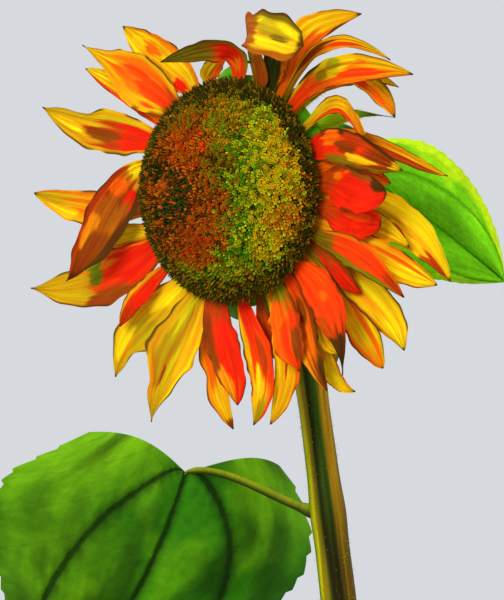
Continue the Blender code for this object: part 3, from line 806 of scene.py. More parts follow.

# %% [markdown]
# No two petals are coloured alike. Each has a colour at its root, its middle and its tip, one for each
# margin where that differs, and some have strokes: soft patches at a place along and across. Part of this
# is painted light: the lemon strokes are painted highlights, and the umber, olive and moss margins,
# strokes and petals and some rust strokes are painted shade. The borders between them are pulled along the
# petal by a noise that is fine across it and slow along it, as the pigment follows the veins.

# %% The petals' paints
Stroke = namedtuple("Stroke", "tone along across length width")
Paint = namedtuple("Paint", "root middle tip minus plus strokes", defaults=((),))
# painted light: lemon strokes are painted highlights; umber, olive, moss and some rust are painted shade
PAINTS = [
    Paint("orange", "amber", "gold", "rust", "gold", [Stroke("brick", 0.6, -0.4, 0.3, 0.22)]),
    Paint("gold", "gold", "lemon", "amber", "gold"),
    Paint("orange", "gold", "gold", "orange", "gold",
          [Stroke("orange", 0.25, -0.1, 0.3, 0.6), Stroke("orange", 0.5, -0.45, 0.2, 0.4),
           Stroke("umber", 0.85, -0.95, 0.1, 0.25)]),
    Paint("moss", "moss", "bronze", "orange", "umber"),
    Paint("orange", "gold", "lemon", "lemon", "flame"),
    Paint("orange", "amber", "honey", "amber", "gold", [Stroke("lemon", 0.72, 0.5, 0.12, 0.4)]),
    Paint("rust", "orange", "gold", "amber", "gold",
          [Stroke("gold", 0.8, 0.0, 0.18, 0.6), Stroke("rust", 0.98, 0.0, 0.06, 1.0)]),
    Paint("rust", "brick", "rust", "scarlet", "rust"),
    Paint("orange", "gold", "gold", "lemon", "amber", [Stroke("lemon", 0.75, -0.2, 0.2, 0.5)]),
    Paint("amber", "gold", "amber", "orange", "lemon", [Stroke("orange", 0.7, 0.3, 0.3, 0.2)]),
    Paint("amber", "lemon", "lemon", "gold", "lemon",
          [Stroke("honey", 0.4, -0.2, 0.2, 0.3), Stroke("brick", 0.88, -0.6, 0.12, 0.3)]),
    Paint("lemon", "lemon", "lemon", "lemon", "lemon", [Stroke("brick", 0.85, 0.85, 0.1, 0.25)]),
    Paint("orange", "orange", "orange", "amber", "orange"),
    Paint("amber", "gold", "amber", "gold", "ochre",
          [Stroke("flame", 0.58, -0.35, 0.12, 0.4), Stroke("orange", 0.8, -0.5, 0.12, 0.4)]),
    Paint("gold", "gold", "gold", "orange", "lemon",
          [Stroke("orange", 0.5, -0.5, 0.5, 0.4), Stroke("lemon", 0.5, 0.5, 0.5, 0.4)]),
    Paint("amber", "gold", "gold", "amber", "lemon",
          [Stroke("scarlet", 0.16, 0.6, 0.12, 0.35), Stroke("lemon", 0.28, -0.25, 0.26, 0.3),
           Stroke("orange", 0.68, -0.1, 0.12, 0.35), Stroke("lemon", 0.8, 0.2, 0.08, 0.3)]),
    Paint("flame", "honey", "honey", "gold", "honey",
          [Stroke("brick", 0.36, 0.2, 0.27, 0.62), Stroke("scarlet", 0.2, 0.1, 0.2, 0.7),
           Stroke("rust", 0.5, 0.2, 0.12, 0.35), Stroke("lemon", 0.82, 0.3, 0.13, 0.3)]),
    Paint("gold", "lemon", "gold", "gold", "amber"),
    Paint("lemon", "honey", "honey", "gold", "honey",
          [Stroke("lemon", 0.12, -0.3, 0.2, 0.5), Stroke("mustard", 0.55, 0.1, 0.16, 0.3),
           Stroke("lemon", 0.75, -0.5, 0.14, 0.3)]),
    Paint("amber", "gold", "gold", "lemon", "orange", [Stroke("brick", 0.42, -0.15, 0.2, 0.18)]),
    Paint("gold", "gold", "lemon", "gold", "orange"),
    Paint("bronze", "gold", "lemon", "ochre", "gold", [Stroke("lemon", 0.6, 0.2, 0.25, 0.4)]),
    Paint("amber", "gold", "lemon", "gold", "amber",
          [Stroke("lemon", 0.6, -0.4, 0.3, 0.4), Stroke("orange", 0.6, 0.3, 0.25, 0.2)]),
    Paint("gold", "gold", "amber", "flame", "gold",
          [Stroke("lemon", 0.12, 0.4, 0.15, 0.4), Stroke("flame", 0.4, -0.7, 0.35, 0.3)]),
    Paint("bronze", "amber", "gold", "amber", "gold",
          [Stroke("rust", 0.3, 0.2, 0.2, 0.5), Stroke("flame", 0.65, -0.3, 0.18, 0.35)]),
    Paint("brick", "orange", "gold", "gold", "gold",
          [Stroke("orange", 0.45, 0.0, 0.28, 0.55), Stroke("flame", 0.26, 0.2, 0.18, 0.5),
           Stroke("flame", 0.5, -0.2, 0.14, 0.2)]),
    Paint("scarlet", "flame", "honey", "amber", "rust",
          [Stroke("scarlet", 0.25, -0.1, 0.22, 0.8), Stroke("brick", 0.48, 0.6, 0.14, 0.4),
           Stroke("honey", 0.82, 0.0, 0.22, 1.5), Stroke("leafy", 0.56, -0.6, 0.06, 0.5),
           Stroke("leafy", 0.57, -0.1, 0.04, 0.3),
           Stroke("rust", 0.5, 0.75, 0.14, 0.3)]),
    Paint("honey", "honey", "honey", "honey", "gold",
          [Stroke("ochre", 0.55, -0.35, 0.26, 0.3), Stroke("rust", 0.64, -0.05, 0.08, 0.07),
           Stroke("gold", 0.3, 0.6, 0.3, 0.3), Stroke("amber", 0.72, -0.85, 0.12, 0.25),
           Stroke("ochre", 0.3, -0.1, 0.2, 0.2)]),
    Paint("scarlet", "flame", "gold", "gold", "flame",
          [Stroke("brick", 0.42, 0.2, 0.16, 0.3), Stroke("lemon", 0.7, -0.3, 0.15, 0.3),
           Stroke("mustard", 0.9, 0.1, 0.1, 0.5)]),
    Paint("flame", "orange", "rust", "amber", "rust",
          [Stroke("rust", 0.25, 0.1, 0.12, 0.35), Stroke("umber", 0.85, 0.5, 0.15, 0.4)]),
    Paint("rust", "brick", "scarlet", "scarlet", "rust", [Stroke("scarlet", 0.5, 0.0, 0.2, 0.4)]),
    Paint("brick", "scarlet", "scarlet", "scarlet", "flame", [Stroke("flame", 0.6, 0.1, 0.2, 0.4)]),
    Paint("brick", "scarlet", "scarlet", "scarlet", "rust",
          [Stroke("orange", 0.22, 0.4, 0.09, 0.2), Stroke("orange", 0.4, 0.5, 0.07, 0.22),
           Stroke("scarlet", 0.55, -0.1, 0.3, 0.7), Stroke("umber", 0.92, 0.5, 0.1, 0.5)]),
    Paint("scarlet", "flame", "rust", "bronze", "umber",
          [Stroke("orange", 0.2, 0.4, 0.14, 0.4), Stroke("rust", 0.42, 0.0, 0.16, 0.35),
           Stroke("gold", 0.6, -0.45, 0.15, 0.22), Stroke("brick", 0.5, 0.5, 0.15, 0.3),
           Stroke("gold", 0.97, 0.0, 0.06, 1.0)]),
    Paint("flame", "orange", "gold", "orange", "gold",
          [Stroke("gold", 0.45, 0.45, 0.17, 0.55), Stroke("mustard", 0.44, 0.5, 0.05, 0.45),
           Stroke("ochre", 0.32, 0.15, 0.06, 0.25), Stroke("umber", 0.22, 0.98, 0.12, 0.2),
           Stroke("flame", 0.68, -0.35, 0.16, 0.32), Stroke("flame", 0.06, -0.2, 0.08, 0.8),
           Stroke("gold", 0.85, 0.4, 0.14, 0.4)]),
    Paint("rust", "gold", "lemon", "sienna", "olive",
          [Stroke("sienna", 0.52, 0.0, 0.2, 1.5), Stroke("honey", 0.8, 0.3, 0.1, 0.4),
           Stroke("lemon", 0.87, -0.4, 0.1, 0.3), Stroke("mustard", 0.82, 0.1, 0.12, 0.22),
           Stroke("olive", 0.88, -0.05, 0.05, 0.16), Stroke("olive", 0.99, 0.3, 0.02, 0.6)]),
    Paint("flame", "scarlet", "olive", "olive", "flame",
          [Stroke("orange", 0.15, 0.2, 0.12, 0.5), Stroke("scarlet", 0.35, 0.3, 0.2, 0.5),
           Stroke("olive", 0.88, 0.0, 0.3, 1.5)]),
    Paint("gold", "rust", "umber", "brick", "umber",
          [Stroke("lemon", 0.06, -0.3, 0.07, 0.8), Stroke("orange", 0.25, -0.2, 0.08, 0.5),
           Stroke("scarlet", 0.3, 0.4, 0.08, 0.3), Stroke("sienna", 0.45, 0.0, 0.14, 0.7),
           Stroke("amber", 0.6, -0.5, 0.12, 0.28), Stroke("rust", 0.75, 0.1, 0.16, 0.5),
           Stroke("umber", 0.62, 0.95, 0.3, 0.25)]),
    Paint("flame", "scarlet", "brick", "amber", "scarlet"),
    Paint("brick", "scarlet", "flame", "rust", "scarlet",
          [Stroke("amber", 0.8, -0.55, 0.2, 0.4), Stroke("scarlet", 0.5, 0.2, 0.3, 0.6)]),
    Paint("olive", "flame", "flame", "orange", "brick",
          [Stroke("orange", 0.25, -0.4, 0.15, 0.4), Stroke("rust", 0.7, 0.5, 0.2, 0.35)]),
    Paint("flame", "flame", "umber", "flame", "flame",
          [Stroke("brick", 0.66, -0.8, 0.2, 0.3), Stroke("orange", 0.3, -0.1, 0.06, 0.2),
           Stroke("umber", 0.85, 0.0, 0.12, 1.2)]),
    Paint("bronze", "flame", "flame", "olive", "orange",
          [Stroke("flame", 0.4, 0.0, 0.2, 0.6), Stroke("brick", 0.9, 0.1, 0.1, 0.5)]),
]
print(len(PAINTS), "paints with", sum(len(paint.strokes) for paint in PAINTS), "strokes")

# %% [markdown]
# The colours are worked out at the points of the mesh and kept on them. A shader could mix them too, but
# then each petal would need its own. The middle, the tip, the margins and the strokes are laid over
# the root's colour in this order, and last the green in the colour swings with a noise, which makes
# it warmer and cooler in streaks.

# %% How a petal is tinted
STREAK_PULL = 0.20  # how far the streaks pull a border along the petal
BLOT_PULL = 0.06
MIDDLE_FROM, MIDDLE_FADE = 0.05, 0.26
TIP_FROM, TIP_FADE = 0.60, 0.22
MARGIN_FROM, MARGIN_FADE = 0.5, 0.25
MARGIN_WANDER = 0.3
STROKE_EDGE, STROKE_FADE = 1.18, 0.3
STROKE_RAGGED = 0.65
WARMTH_SWING = 1.1
GREEN_LIMIT = 0.75  # past this a yellow would look like a lamp


def petal_tint(paint, seed, share, across):
    streak = noise.noise((across * 4.5, share * 1.4, seed))
    blot = noise.noise((across * 2.0, share * 5.0, seed + 9))
    where = share + STREAK_PULL * streak + BLOT_PULL * blot
    from_root = smooth((where - MIDDLE_FROM) / MIDDLE_FADE)
    tint = blend(colour_of(paint.root), colour_of(paint.middle), from_root)
    tint = blend(tint, colour_of(paint.tip), smooth((where - TIP_FROM) / TIP_FADE))
    margin = colour_of(paint.plus if across > 0 else paint.minus)
    reach = abs(across) + MARGIN_WANDER * noise.noise((share * 3.0, across, seed + 4))
    tint = blend(tint, margin, smooth((reach - MARGIN_FROM) / MARGIN_FADE) * smooth((share + 0.05) * 5))
    for stroke in paint.strokes:
        away = math.hypot((share - stroke.along) / stroke.length, (across - stroke.across) / stroke.width)
        cover = smooth((STROKE_EDGE - away - STROKE_RAGGED * streak) / STROKE_FADE)
        tint = blend(tint, colour_of(stroke.tone), cover)
    warmth = 2.0 ** (WARMTH_SWING * noise.noise((across * 6, share * 2.2, seed + 2)))
    return Vector((tint.x, min(tint.y * warmth, GREEN_LIMIT), tint.z)) * (1 + 0.15 * blot)


tones = [tone for paint in PAINTS for tone in paint[:5]]
print(tones.count("gold"), "golden places and", tones.count("scarlet"), "scarlet ones")

# %% [markdown]
# Close up, a petal shows fine veins along it, painted shade in a dark line here and there on its margin,
# dark tips, and a silky rather than a shiny face. The finish reads where it is on the petal from the mesh's
# own `spot` attribute: across, along and the petal's seed. So one finish serves all petals, and none repeats
# another.

# %% The petals' finish
def petal_finish():
    finish = Finish("petal", 0.5)
    across, along, seed = finish.split(finish.attribute("spot"))
    tint = finish.attribute("tint")
    veins = finish.noise(finish.join(across * 9.0, along * 1.1, seed), 2.2, 3)
    blotches = finish.noise(finish.join(across * 2.0, along * 5.0, seed + 3.0), 1.6, 2)
    tint = finish.brighten(tint, 0.74 + 0.36 * veins + 0.2 * blotches)
    runs = finish.noise(finish.join(finish.step(across, -0.1, 0.1) * 6.0, along * 2.6, seed), 1.6, 1)
    # painted shade: a dark line here and there along the margins
    shaded_margin = finish.step(abs(across) + (veins - 0.5) * 0.14, 0.84, 0.95)
    dark = shaded_margin * finish.step(runs, 0.43, 0.53) * finish.step(along, 0.02, 0.2)
    dark = dark.math("MAXIMUM", finish.step(along + (veins - 0.5) * 0.03, 0.965, 0.99))
    finish.set("Base Color", finish.mix(tint, PALETTE["umber"], dark * 0.9))
    finish.set("Roughness", 0.42 + 0.3 * veins)
    finish.bump(veins, 0.0012)
    return finish


PETAL_FINISH = petal_finish()
print("the petals' finish has", len(PETAL_FINISH.tree.nodes), "nodes")

# %% [markdown]
# Petals, bracts and leaves are all blades. A blade starts as a flat grid, which an extrusion doubles into
# a closed skin with an upper and a lower side. Each point then goes where the rule puts it, with its
# tint and its spot. A Solidify modifier would give a second side too, but one of even thickness.

# %% Growing the petals
def blade(rows, columns, place, tint, seed):
    """A thin closed blade. place and tint take along, 0 to 1, across, -1 to 1, and side, -1 or 1."""
    shape = bmesh.new()
    tints = shape.verts.layers.float_color.new("tint")
    spots = shape.verts.layers.float_vector.new("spot")
    bmesh.ops.create_grid(shape, x_segments=columns, y_segments=rows, size=1.0)
    upper = bmesh.ops.extrude_face_region(shape, geom=shape.faces[:])["geom"]
    raised = {item for item in upper if isinstance(item, bmesh.types.BMVert)}
    for vert in shape.verts:
        along, across, side = (vert.co.y + 1) / 2, round(vert.co.x, 6), 1 if vert in raised else -1
        vert[tints] = (*tint(along, across, side), 1.0)
        vert[spots] = (across, along, seed)
        vert.co = place(along, across, side)
    return shape


PETAL_SEED_STEP = 3.7


def petal(number, ray, lift, paint):
    stations = frames_of(ray, lift)
    last = len(stations) - 1
    seed = number * PETAL_SEED_STEP
    dents = DENTS.get(number, [])

    def place(along, across, side):
        return petal_place(stations, seed, dents, along, across, side)

    def tint(along, across, side):
        return petal_tint(paint, seed, stations[round(along * last)].share, across)

    shape = blade(last, PETAL_COLUMNS, place, tint, seed)
    shape.transform(HEAD)
    return shape


RED_TONES = {"rust", "scarlet", "brick", "flame"}


def slot_of(paint):
    """The slot whose colour is nearest to the petal's middle."""
    if paint.middle in RED_TONES:
        return "ray_red"
    return "ray_orange" if paint.middle == "orange" else "ray_gold"


for number, (ray, lift, paint) in enumerate(zip(RAYS, lifts, PAINTS), start=1):
    show_shape(f"petal_{number:02d}", petal(number, ray, lift, paint), PETAL_FINISH,
               f"ray_floret_{number:02d}", slot_of(paint))
print(len(RAYS), "petals grown")

# %% [markdown]
# Behind the petals a green cup carries them. Two rows of pointed bracts stand out of its side and bend
# back, with a keel down the middle and a fringe of stiff pale hairs. One bract of the front row is
# longer, and shows bright green between the petals.

# %% The bracts' rule
Row = namedtuple("Row", "radius height length width tilt curl turn fullness shift")
BRACT_ROWS = [
    Row(66 * MM, -7 * MM, 46 * MM, 19 * MM, 28.0, 0.5, 0.0, 0.8, 0.0),
    Row(61 * MM, -12 * MM, 38 * MM, 19 * MM, 37.0, 0.5, 0.0, 0.8, 0.0),
]
LONG_BRACT = 2
LONG_BRACT_ROW = Row(66 * MM, -7 * MM, 60 * MM, 11 * MM, 10.0, 0.2, 50.0, 2.5, -10.0)
BRACTS_PER_ROW = 12
BRACT_START = 14.0
BRACT_THICKNESS = 1.2 * MM
BRACT_HOLLOW = 1.5 * MM
BRACT_KEEL = 1.1 * MM
BRACT_KEEL_WIDTH = 0.18
BRACT_SWAY = 1.5 * MM
BRACT_ROOT_SHARE = 0.28
BRACT_TIP_SHARE = 0.03


def bract_place(index, along, across, side):
    row = LONG_BRACT_ROW if index == LONG_BRACT else BRACT_ROWS[index % 2]
    degrees = 360 * index / (2 * BRACTS_PER_ROW) + BRACT_START + row.shift
    bend = math.radians(row.tilt) + row.curl * along**2
    half_turn = row.turn * along / 2
    outward = polar(1, degrees - half_turn)
    sideways = Vector((0, 0, 1)).cross(polar(1, degrees - 2 * half_turn))
    swell = max(math.sin(math.pi * (BRACT_ROOT_SHARE + (1 - BRACT_ROOT_SHARE) * along)), 0)
    half = row.width / 2 * max(swell**row.fullness, BRACT_TIP_SHARE)
    reach = along * row.length
    drop = math.sin(bend) * reach + BRACT_HOLLOW * across * across
    keel = BRACT_KEEL * math.exp(-(across / BRACT_KEEL_WIDTH) ** 2) * (1 - along)
    drop += keel - side * BRACT_THICKNESS / 2
    sway = BRACT_SWAY * along * noise.noise((along * 2, index * 1.7, 0))
    start = polar(row.radius, degrees, row.height)
    level = start + outward * (math.cos(bend) * reach) + sideways * (across * half + sway)
    return level - Vector((0, 0, drop))


def bract_tint(index, along, across, side):
    base = colour_of("spring" if index == LONG_BRACT else "grass")
    tint = blend(base * 0.75, base, smooth(along * 4))
    tint = blend(tint, colour_of("pine"), smooth((along - 0.5) / 0.3) * 0.8)
    tint = blend(tint, colour_of("lime"), smooth((abs(across) - 0.7) / 0.3) * 0.4)
    return tint * (0.9 + 0.4 * noise.noise((across * 5, along * 3, index * 2.3)))


print("the long bract is", round(LONG_BRACT_ROW.length / MM), "mm long")

# %% [markdown]
# The cup is spun from its outline, which has the slot for the petals' roots. The bracts are then joined
# into it. Going by way of a mesh is how one bmesh takes in another with its attributes.

# %% The green cup
SLOT_INNER = 60 * MM
SLOT_FLOOR = -1.8 * MM
RECEPTACLE_RADIUS = 78 * MM
RECEPTACLE_DEPTH = 40 * MM
CUP_PROFILE = [(0, 1.2 * MM), (57.5 * MM, 1.2 * MM), (SLOT_INNER - 0.3 * MM, SLOT_FLOOR),
               (RECEPTACLE_RADIUS - MM, SLOT_FLOOR), (RECEPTACLE_RADIUS, SLOT_FLOOR - 1.4 * MM),
               (75 * MM, -9 * MM), (69 * MM, -14.5 * MM), (60 * MM, -19 * MM), (47 * MM, -25.5 * MM),
               (34 * MM, -31 * MM), (22 * MM, -36.5 * MM), (13.5 * MM, -RECEPTACLE_DEPTH),
               (0, -RECEPTACLE_DEPTH)]
CUP_SEGMENTS = 96
CUP_MOTTLE = 9 * MM
CUP_FIBRE = 12 * MM
BRACT_GRID = (16, 10)


def cup_shape():
    shape = spun(list(reversed(CUP_PROFILE)), CUP_SEGMENTS)
    tints = shape.verts.layers.float_color.new("tint")
    spots = shape.verts.layers.float_vector.new("spot")
    for vert in shape.verts:
        mottle = noise.noise(vert.co / CUP_MOTTLE)
        vert[tints] = (*(colour_of("grass") * (0.6 + 0.3 * mottle)), 1.0)
        vert[spots] = (vert.co.x / CUP_FIBRE, vert.co.y / CUP_FIBRE, 0)
    for index in range(2 * BRACTS_PER_ROW):
        bract = blade(*BRACT_GRID, partial(bract_place, index), partial(bract_tint, index), index)
        join_into(shape, bract)
    shape.transform(HEAD)
    return shape


def join_into(whole, part):
    """Moves the part's faces into the whole, turned outwards and with their attributes."""
    turn_outwards(part)
    carrier = bpy.data.meshes.new("carrier")
    part.to_mesh(carrier)
    part.free()
    whole.from_mesh(carrier)
    bpy.data.meshes.remove(carrier)


def bract_finish():
    """A green skin with fine fibres along it, for the cup and its bracts."""
    finish = Finish("bract_green", 0.55)
    across, along, seed = finish.split(finish.attribute("spot"))
    fibres = finish.noise(finish.join(across * 8.0, along * 1.4, seed), 2.5, 3)
    finish.set("Base Color", finish.brighten(finish.attribute("tint"), 0.65 + 0.7 * fibres))
    finish.bump(fibres, 0.0012)
    return finish


show_shape("cup_and_bracts", cup_shape(), bract_finish(), "receptacle", "bract_green")
print(2 * BRACTS_PER_ROW, "bracts")

# %% [markdown]
# Stiff hairs stand along both margins of each bract. The margin's own rule gives their roots, and two
# points near it say which way is outwards and which way is on.

# %% The bracts' hairs
HAIR = ringed([Ring(0.16, -0.4, 0), Ring(0.12, 1.0, 0), Ring(0.03, 2.4, 0)], 3)
HAIRS_PER_MARGIN = 22


def bract_hair_places(dice):
    places = []
    for index in range(2 * BRACTS_PER_ROW):
        for flank in (-1, 1):
            for i in range(HAIRS_PER_MARGIN):
                along = (i + dice.random()) / HAIRS_PER_MARGIN * 0.95
                edge = bract_place(index, along, flank, 0)
                outward = (edge - bract_place(index, along, flank * 0.8, 0)).normalized()
                ahead = (bract_place(index, along + 0.03, flank, 0) - edge).normalized()
                leaning = outward + ahead * dice.uniform(0.2, 0.9) + Vector((0, 0, dice.uniform(-0.4, 0.4)))
                place = facing(edge, leaning.normalized(), dice.uniform(0, 6), dice.uniform(0.7, 1.3))
                places.append(HEAD @ place)
    return places


show_many("bract_hairs", HAIR, bract_hair_places(random.Random(3)), plain_finish("hairs", "straw", 0.6),
          "receptacle")
print(2 * BRACTS_PER_ROW * 2 * HAIRS_PER_MARGIN, "hairs on the bracts")

# %% [markdown]
# The stem leans a little more the higher it gets, and then its neck bends round into the cup's back.
# A real one is ribbed, swells where a leaf joins it, and is rough with short stiff hairs. It is a grid
# rolled into a tube, so that each point knows how far up and how far round it is. A bevelled curve
# would be round all along.

# %% The stem's rule
STEM_LEAN = -0.053
STEM_LEAN_POWER = 2.2
STEM_SWAY = 0.012
STEM_STRAIGHT_TOP = 1.16
STEM_RADII = [(0.0, 24 * MM), (0.02, 20 * MM), (0.06, 17.5 * MM), (0.5, 15.5 * MM), (0.8, 14 * MM),
              (1.0, 12.4 * MM), (1.08, 11.2 * MM), (1.16, 10.2 * MM)]
NECK_RADIUS = 10.5 * MM
NECK_RISE = 0.07
NECK_REACH = 0.06


def stem_centre(height):
    share = height / STEM_STRAIGHT_TOP
    return Vector((STEM_LEAN * height**STEM_LEAN_POWER, STEM_SWAY * math.sin(math.pi / 2 * share), height))


def stem_radius(height):
    for (low, first), (high, second) in zip(STEM_RADII, STEM_RADII[1:]):
        if height <= high:
            return first + (second - first) * (height - low) / (high - low)
    return STEM_RADII[-1][1]


def neck_points():
    forward = HEAD.to_3x3().col[2]
    start = stem_centre(STEM_STRAIGHT_TOP)
    rise = (start - stem_centre(STEM_STRAIGHT_TOP - 0.01)).normalized()
    end = HEAD @ Vector((0, 0, -RECEPTACLE_DEPTH))
    return start, start + rise * NECK_RISE, end - forward * NECK_REACH, end


print("the stem is", round(2 * stem_radius(0) / MM), "mm thick at its foot")

# %% [markdown]
# The leaves come next, as the stem has to know where they join it. A leaf is a heart: its two lobes
# reach back past the end of its stalk. It is folded along the midrib, sags to its sides and droops to
# its tip. Two of the leaves have their own rows. The lower ones follow each other down the stem, a
# golden angle apart, with small differences that come round in turn.

# %% The table of the leaves
LEAF_FIELDS = "height turn petiole climb face pitch droop twist length width lobe"
Leaf = namedtuple("Leaf", LEAF_FIELDS, defaults=(0.17,))
UPPER_LEAVES = [
    Leaf(1.150, 40, 48, 137, -18, 33, 8, 74, 120, 92),
    Leaf(1.054, 172, 88, 27, 148, 71, -30, -145, 215, 241, 0.09),
]
LOWER_LEAVES = 10
LOWER_TOP = 0.885
LOWER_STEP = 0.082
LOWER_LENGTH = 215
LOWER_SWELL = 45
LOWER_WIDTH_SHARE = 0.9
LOWER_PETIOLES = [100, 110, 120]
LOWER_CLIMB = 42
LOWER_SWINGS = [6, -6]
LOWER_PITCH = 20
LOWER_DROOPS = [40, 48]
LEAF_TURN = 137.5


def lower_leaves():
    rows = []
    for i in range(LOWER_LEAVES):
        length = LOWER_LENGTH + LOWER_SWELL * math.sin(math.pi * i / (LOWER_LEAVES - 1))
        turn = (UPPER_LEAVES[-1].turn + LEAF_TURN * (i + 1)) % 360
        rows.append(Leaf(
            height=LOWER_TOP - i * LOWER_STEP, turn=turn, petiole=LOWER_PETIOLES[i % 3], climb=LOWER_CLIMB,
            face=turn + LOWER_SWINGS[i % 2], pitch=LOWER_PITCH, droop=LOWER_DROOPS[i % 2], twist=0,
            length=length, width=length * LOWER_WIDTH_SHARE))
    return rows


LEAVES = UPPER_LEAVES + lower_leaves()
print(len(LEAVES), "leaves, the lowest", round(LEAVES[-1].height, 2), "m up")

# %% [markdown]
# Three rules, the same as the solids', place a leaf: where its stalk starts and ends, where the midrib
# runs as it droops more and more, and how wide the blade is on the way to the tip.

# %% The leaves' rules
LEAF_WIDEST = 0.25
LEAF_BASE = 0.62
LEAF_TAPER = 1.7
LEAF_FULLNESS = 0.9
LOBE_PEAK = 0.67
LEAF_FOLD = 0.25
LEAF_SAG = 0.38
MIDRIB_STEPS = 8
PETIOLE_RADIUS = 3.4 * MM
PETIOLE_GAP = 0.9 * MM
PETIOLE_END_RADIUS = 2.3 * MM
PETIOLE_PULL = 0.3
PETIOLE_LIFT = 0.1
PETIOLE_SINK = 0.05


def compass(degrees):
    angle = math.radians(degrees)
    return Vector((math.cos(angle), math.sin(angle), 0))


def leaf_base(leaf):
    away = compass(leaf.turn)
    start = stem_centre(leaf.height) + away * (stem_radius(leaf.height) + PETIOLE_GAP)
    return start, away, start + away * leaf.petiole * MM + Vector((0, 0, leaf.climb * MM))


def midrib(leaf, distance):
    """The midrib's point and direction at this distance from the stalk."""
    length = leaf.length * MM
    heading = compass(leaf.face)
    point = leaf_base(leaf)[2]
    for i in range(MIDRIB_STEPS):
        share = max((i + 0.5) / MIDRIB_STEPS * distance / length, 0)
        angle = math.radians(leaf.pitch + leaf.droop * share)
        along = heading * math.cos(angle) - Vector((0, 0, math.sin(angle)))
        point = point + along * (distance / MIDRIB_STEPS)
    return point, along


def leaf_half_width(share):
    swell = LEAF_BASE + (1 - LEAF_BASE) * math.sin(math.pi / 2 * min(1, share / LEAF_WIDEST))
    return swell * (1 - max(0, (share - LEAF_WIDEST) / (1 - LEAF_WIDEST)) ** LEAF_TAPER) ** LEAF_FULLNESS


print("half way out a leaf still has", round(leaf_half_width(0.5), 2), "of its width")

# %% [markdown]
# On a sunflower leaf two strong side veins leave the midrib near its base and curve out and forward, and
# lighter veins leave it in pairs further on. How far a point lies from the nearest of these shapes
# the blade, which bulges between the veins, and tints it. So it is one function, in millimetres,
# and the shader has the same sums again for the fine lines.

# %% The veins
SIDE_VEIN_SPREAD = 0.66  # across, where the side veins are SIDE_VEIN_REACH along
SIDE_VEIN_REACH = 0.6
PAIR_SLANT = 0.35
PAIR_STEP = 0.135
PAIR_FAINTNESS = 7.0  # the pairs shape the blade as if they lay this much further off
VEIN_HALF = 100.0  # millimetres of half width and of length that the distances are scaled by
VEIN_LENGTH = 210.0


def vein_distance(along, across):
    reach = abs(across)
    side_vein = SIDE_VEIN_SPREAD * math.sqrt(max(along, 0) / SIDE_VEIN_REACH)
    pairs = (along - PAIR_SLANT * reach) % PAIR_STEP
    pairs = min(pairs, PAIR_STEP - pairs) * VEIN_LENGTH
    return min(reach * VEIN_HALF, abs(reach - side_vein) * VEIN_HALF * 0.8, pairs + PAIR_FAINTNESS)


print("a point half way out lies", round(vein_distance(0.5, 0.4), 1), "mm from the nearest vein")

# %% [markdown]
# The blade's points follow the midrib, spread to both sides and rise and fall: by the fold, by the quilted
# skin between the veins, and by a wave that grows towards the margin, which has saw teeth.

# %% The blade of a leaf
LEAF_ROWS = 76
LEAF_COLUMNS = 40
LEAF_THICKNESS = 1.3 * MM
TEETH = 17
TOOTH_SHARE = 0.035
QUILT = 1.9 * MM
QUILT_REACH = 9.0
WAVE = 7 * MM
WAVES = 5


def leaf_point(leaf, seed, along, across, side):
    length = leaf.length * MM
    edge = abs(across)
    lobe = leaf.lobe * math.sin(math.pi / 2 * edge / LOBE_PEAK) * (1 - along) ** 3
    centre, way = midrib(leaf, length * (along - lobe))
    level = Vector((0, 0, 1)).cross(way).normalized()
    sideways = Quaternion(way, math.radians(leaf.twist)) @ level
    normal = way.cross(sideways)
    half = max(leaf.width * MM / 2 * leaf_half_width(along), MM / 2)
    tooth = (along * TEETH) % 1.0 * edge**6 * TOOTH_SHARE * smooth((1 - along) * 6)
    height = half * (LEAF_FOLD * edge - LEAF_SAG * across * across)
    height += QUILT * smooth(vein_distance(along, across) / QUILT_REACH) * (1 - edge**4) - QUILT / 2
    flank = seed + (MARGIN_SEEDS if across > 0 else 0)
    height += WAVE * edge**3 * noise.noise((along * WAVES, flank, 0)) * smooth((1 - along) * 4)
    height += side * LEAF_THICKNESS / 2 * (1 - 0.5 * edge)
    return centre + sideways * (across * half * (1 + tooth)) + normal * height


print("a leaf has", LEAF_ROWS * LEAF_COLUMNS * 2, "faces on its two sides")

# %% [markdown]
# A leaf has painted shade along its veins, as in their grooves. It is darker in patches at random, paler
# on its margin and paler below. On the big leaf under the head, the left flank, the lobes and light places
# between the veins take a paler tone, which is painted light. On the young leaf behind the head the same
# places are a darker green. The young leaf is nearly yellow at its rim, most of all on its upper flank,
# which is painted light, and the big one under it is dark.

# %% How a leaf is tinted
LeafPaint = namedtuple("LeafPaint", "left middle right shade lobe margin margin_share")
# painted light: the big leaf's paler left flank and lobe tone, and the young leaf's yellow margin. Each
# shade tone is painted shade along the veins and also the colour of random darker patches
LEAF_PAINTS = {
    0: LeafPaint("meadow", "grass", "meadow", "grass", "grass", "sprout", 0.95),
    1: LeafPaint("fern", "clover", "clover", "pine", "sprig", "clover", 0.3),
}
LOWER_PAINT = LeafPaint("grass", "grass", "grass", "fern", "grass", "lime", 0.35)
LEAF_PATCHINESS = 0.6
# painted shade along both sides of each vein
VEIN_PAINTED_SHADE_REACH = 5.0  # millimetres on each side of a vein that are darker
LOBE_SHARE = 0.8
PAINTED_LIGHT_SHARE = 0.35  # light places further out have the lobes' tone too
LOBE_END, LOBE_FADE = 0.34, 0.3
LOBE_FROM, LOBE_SPREAD = 0.2, 0.4
MARGIN_REACH, MARGIN_SPREAD = 0.68, 0.24
FAINT_MARGIN = 0.4  # how much of the margin's colour the left flank takes
UNDERSIDE_SHARE = 0.45


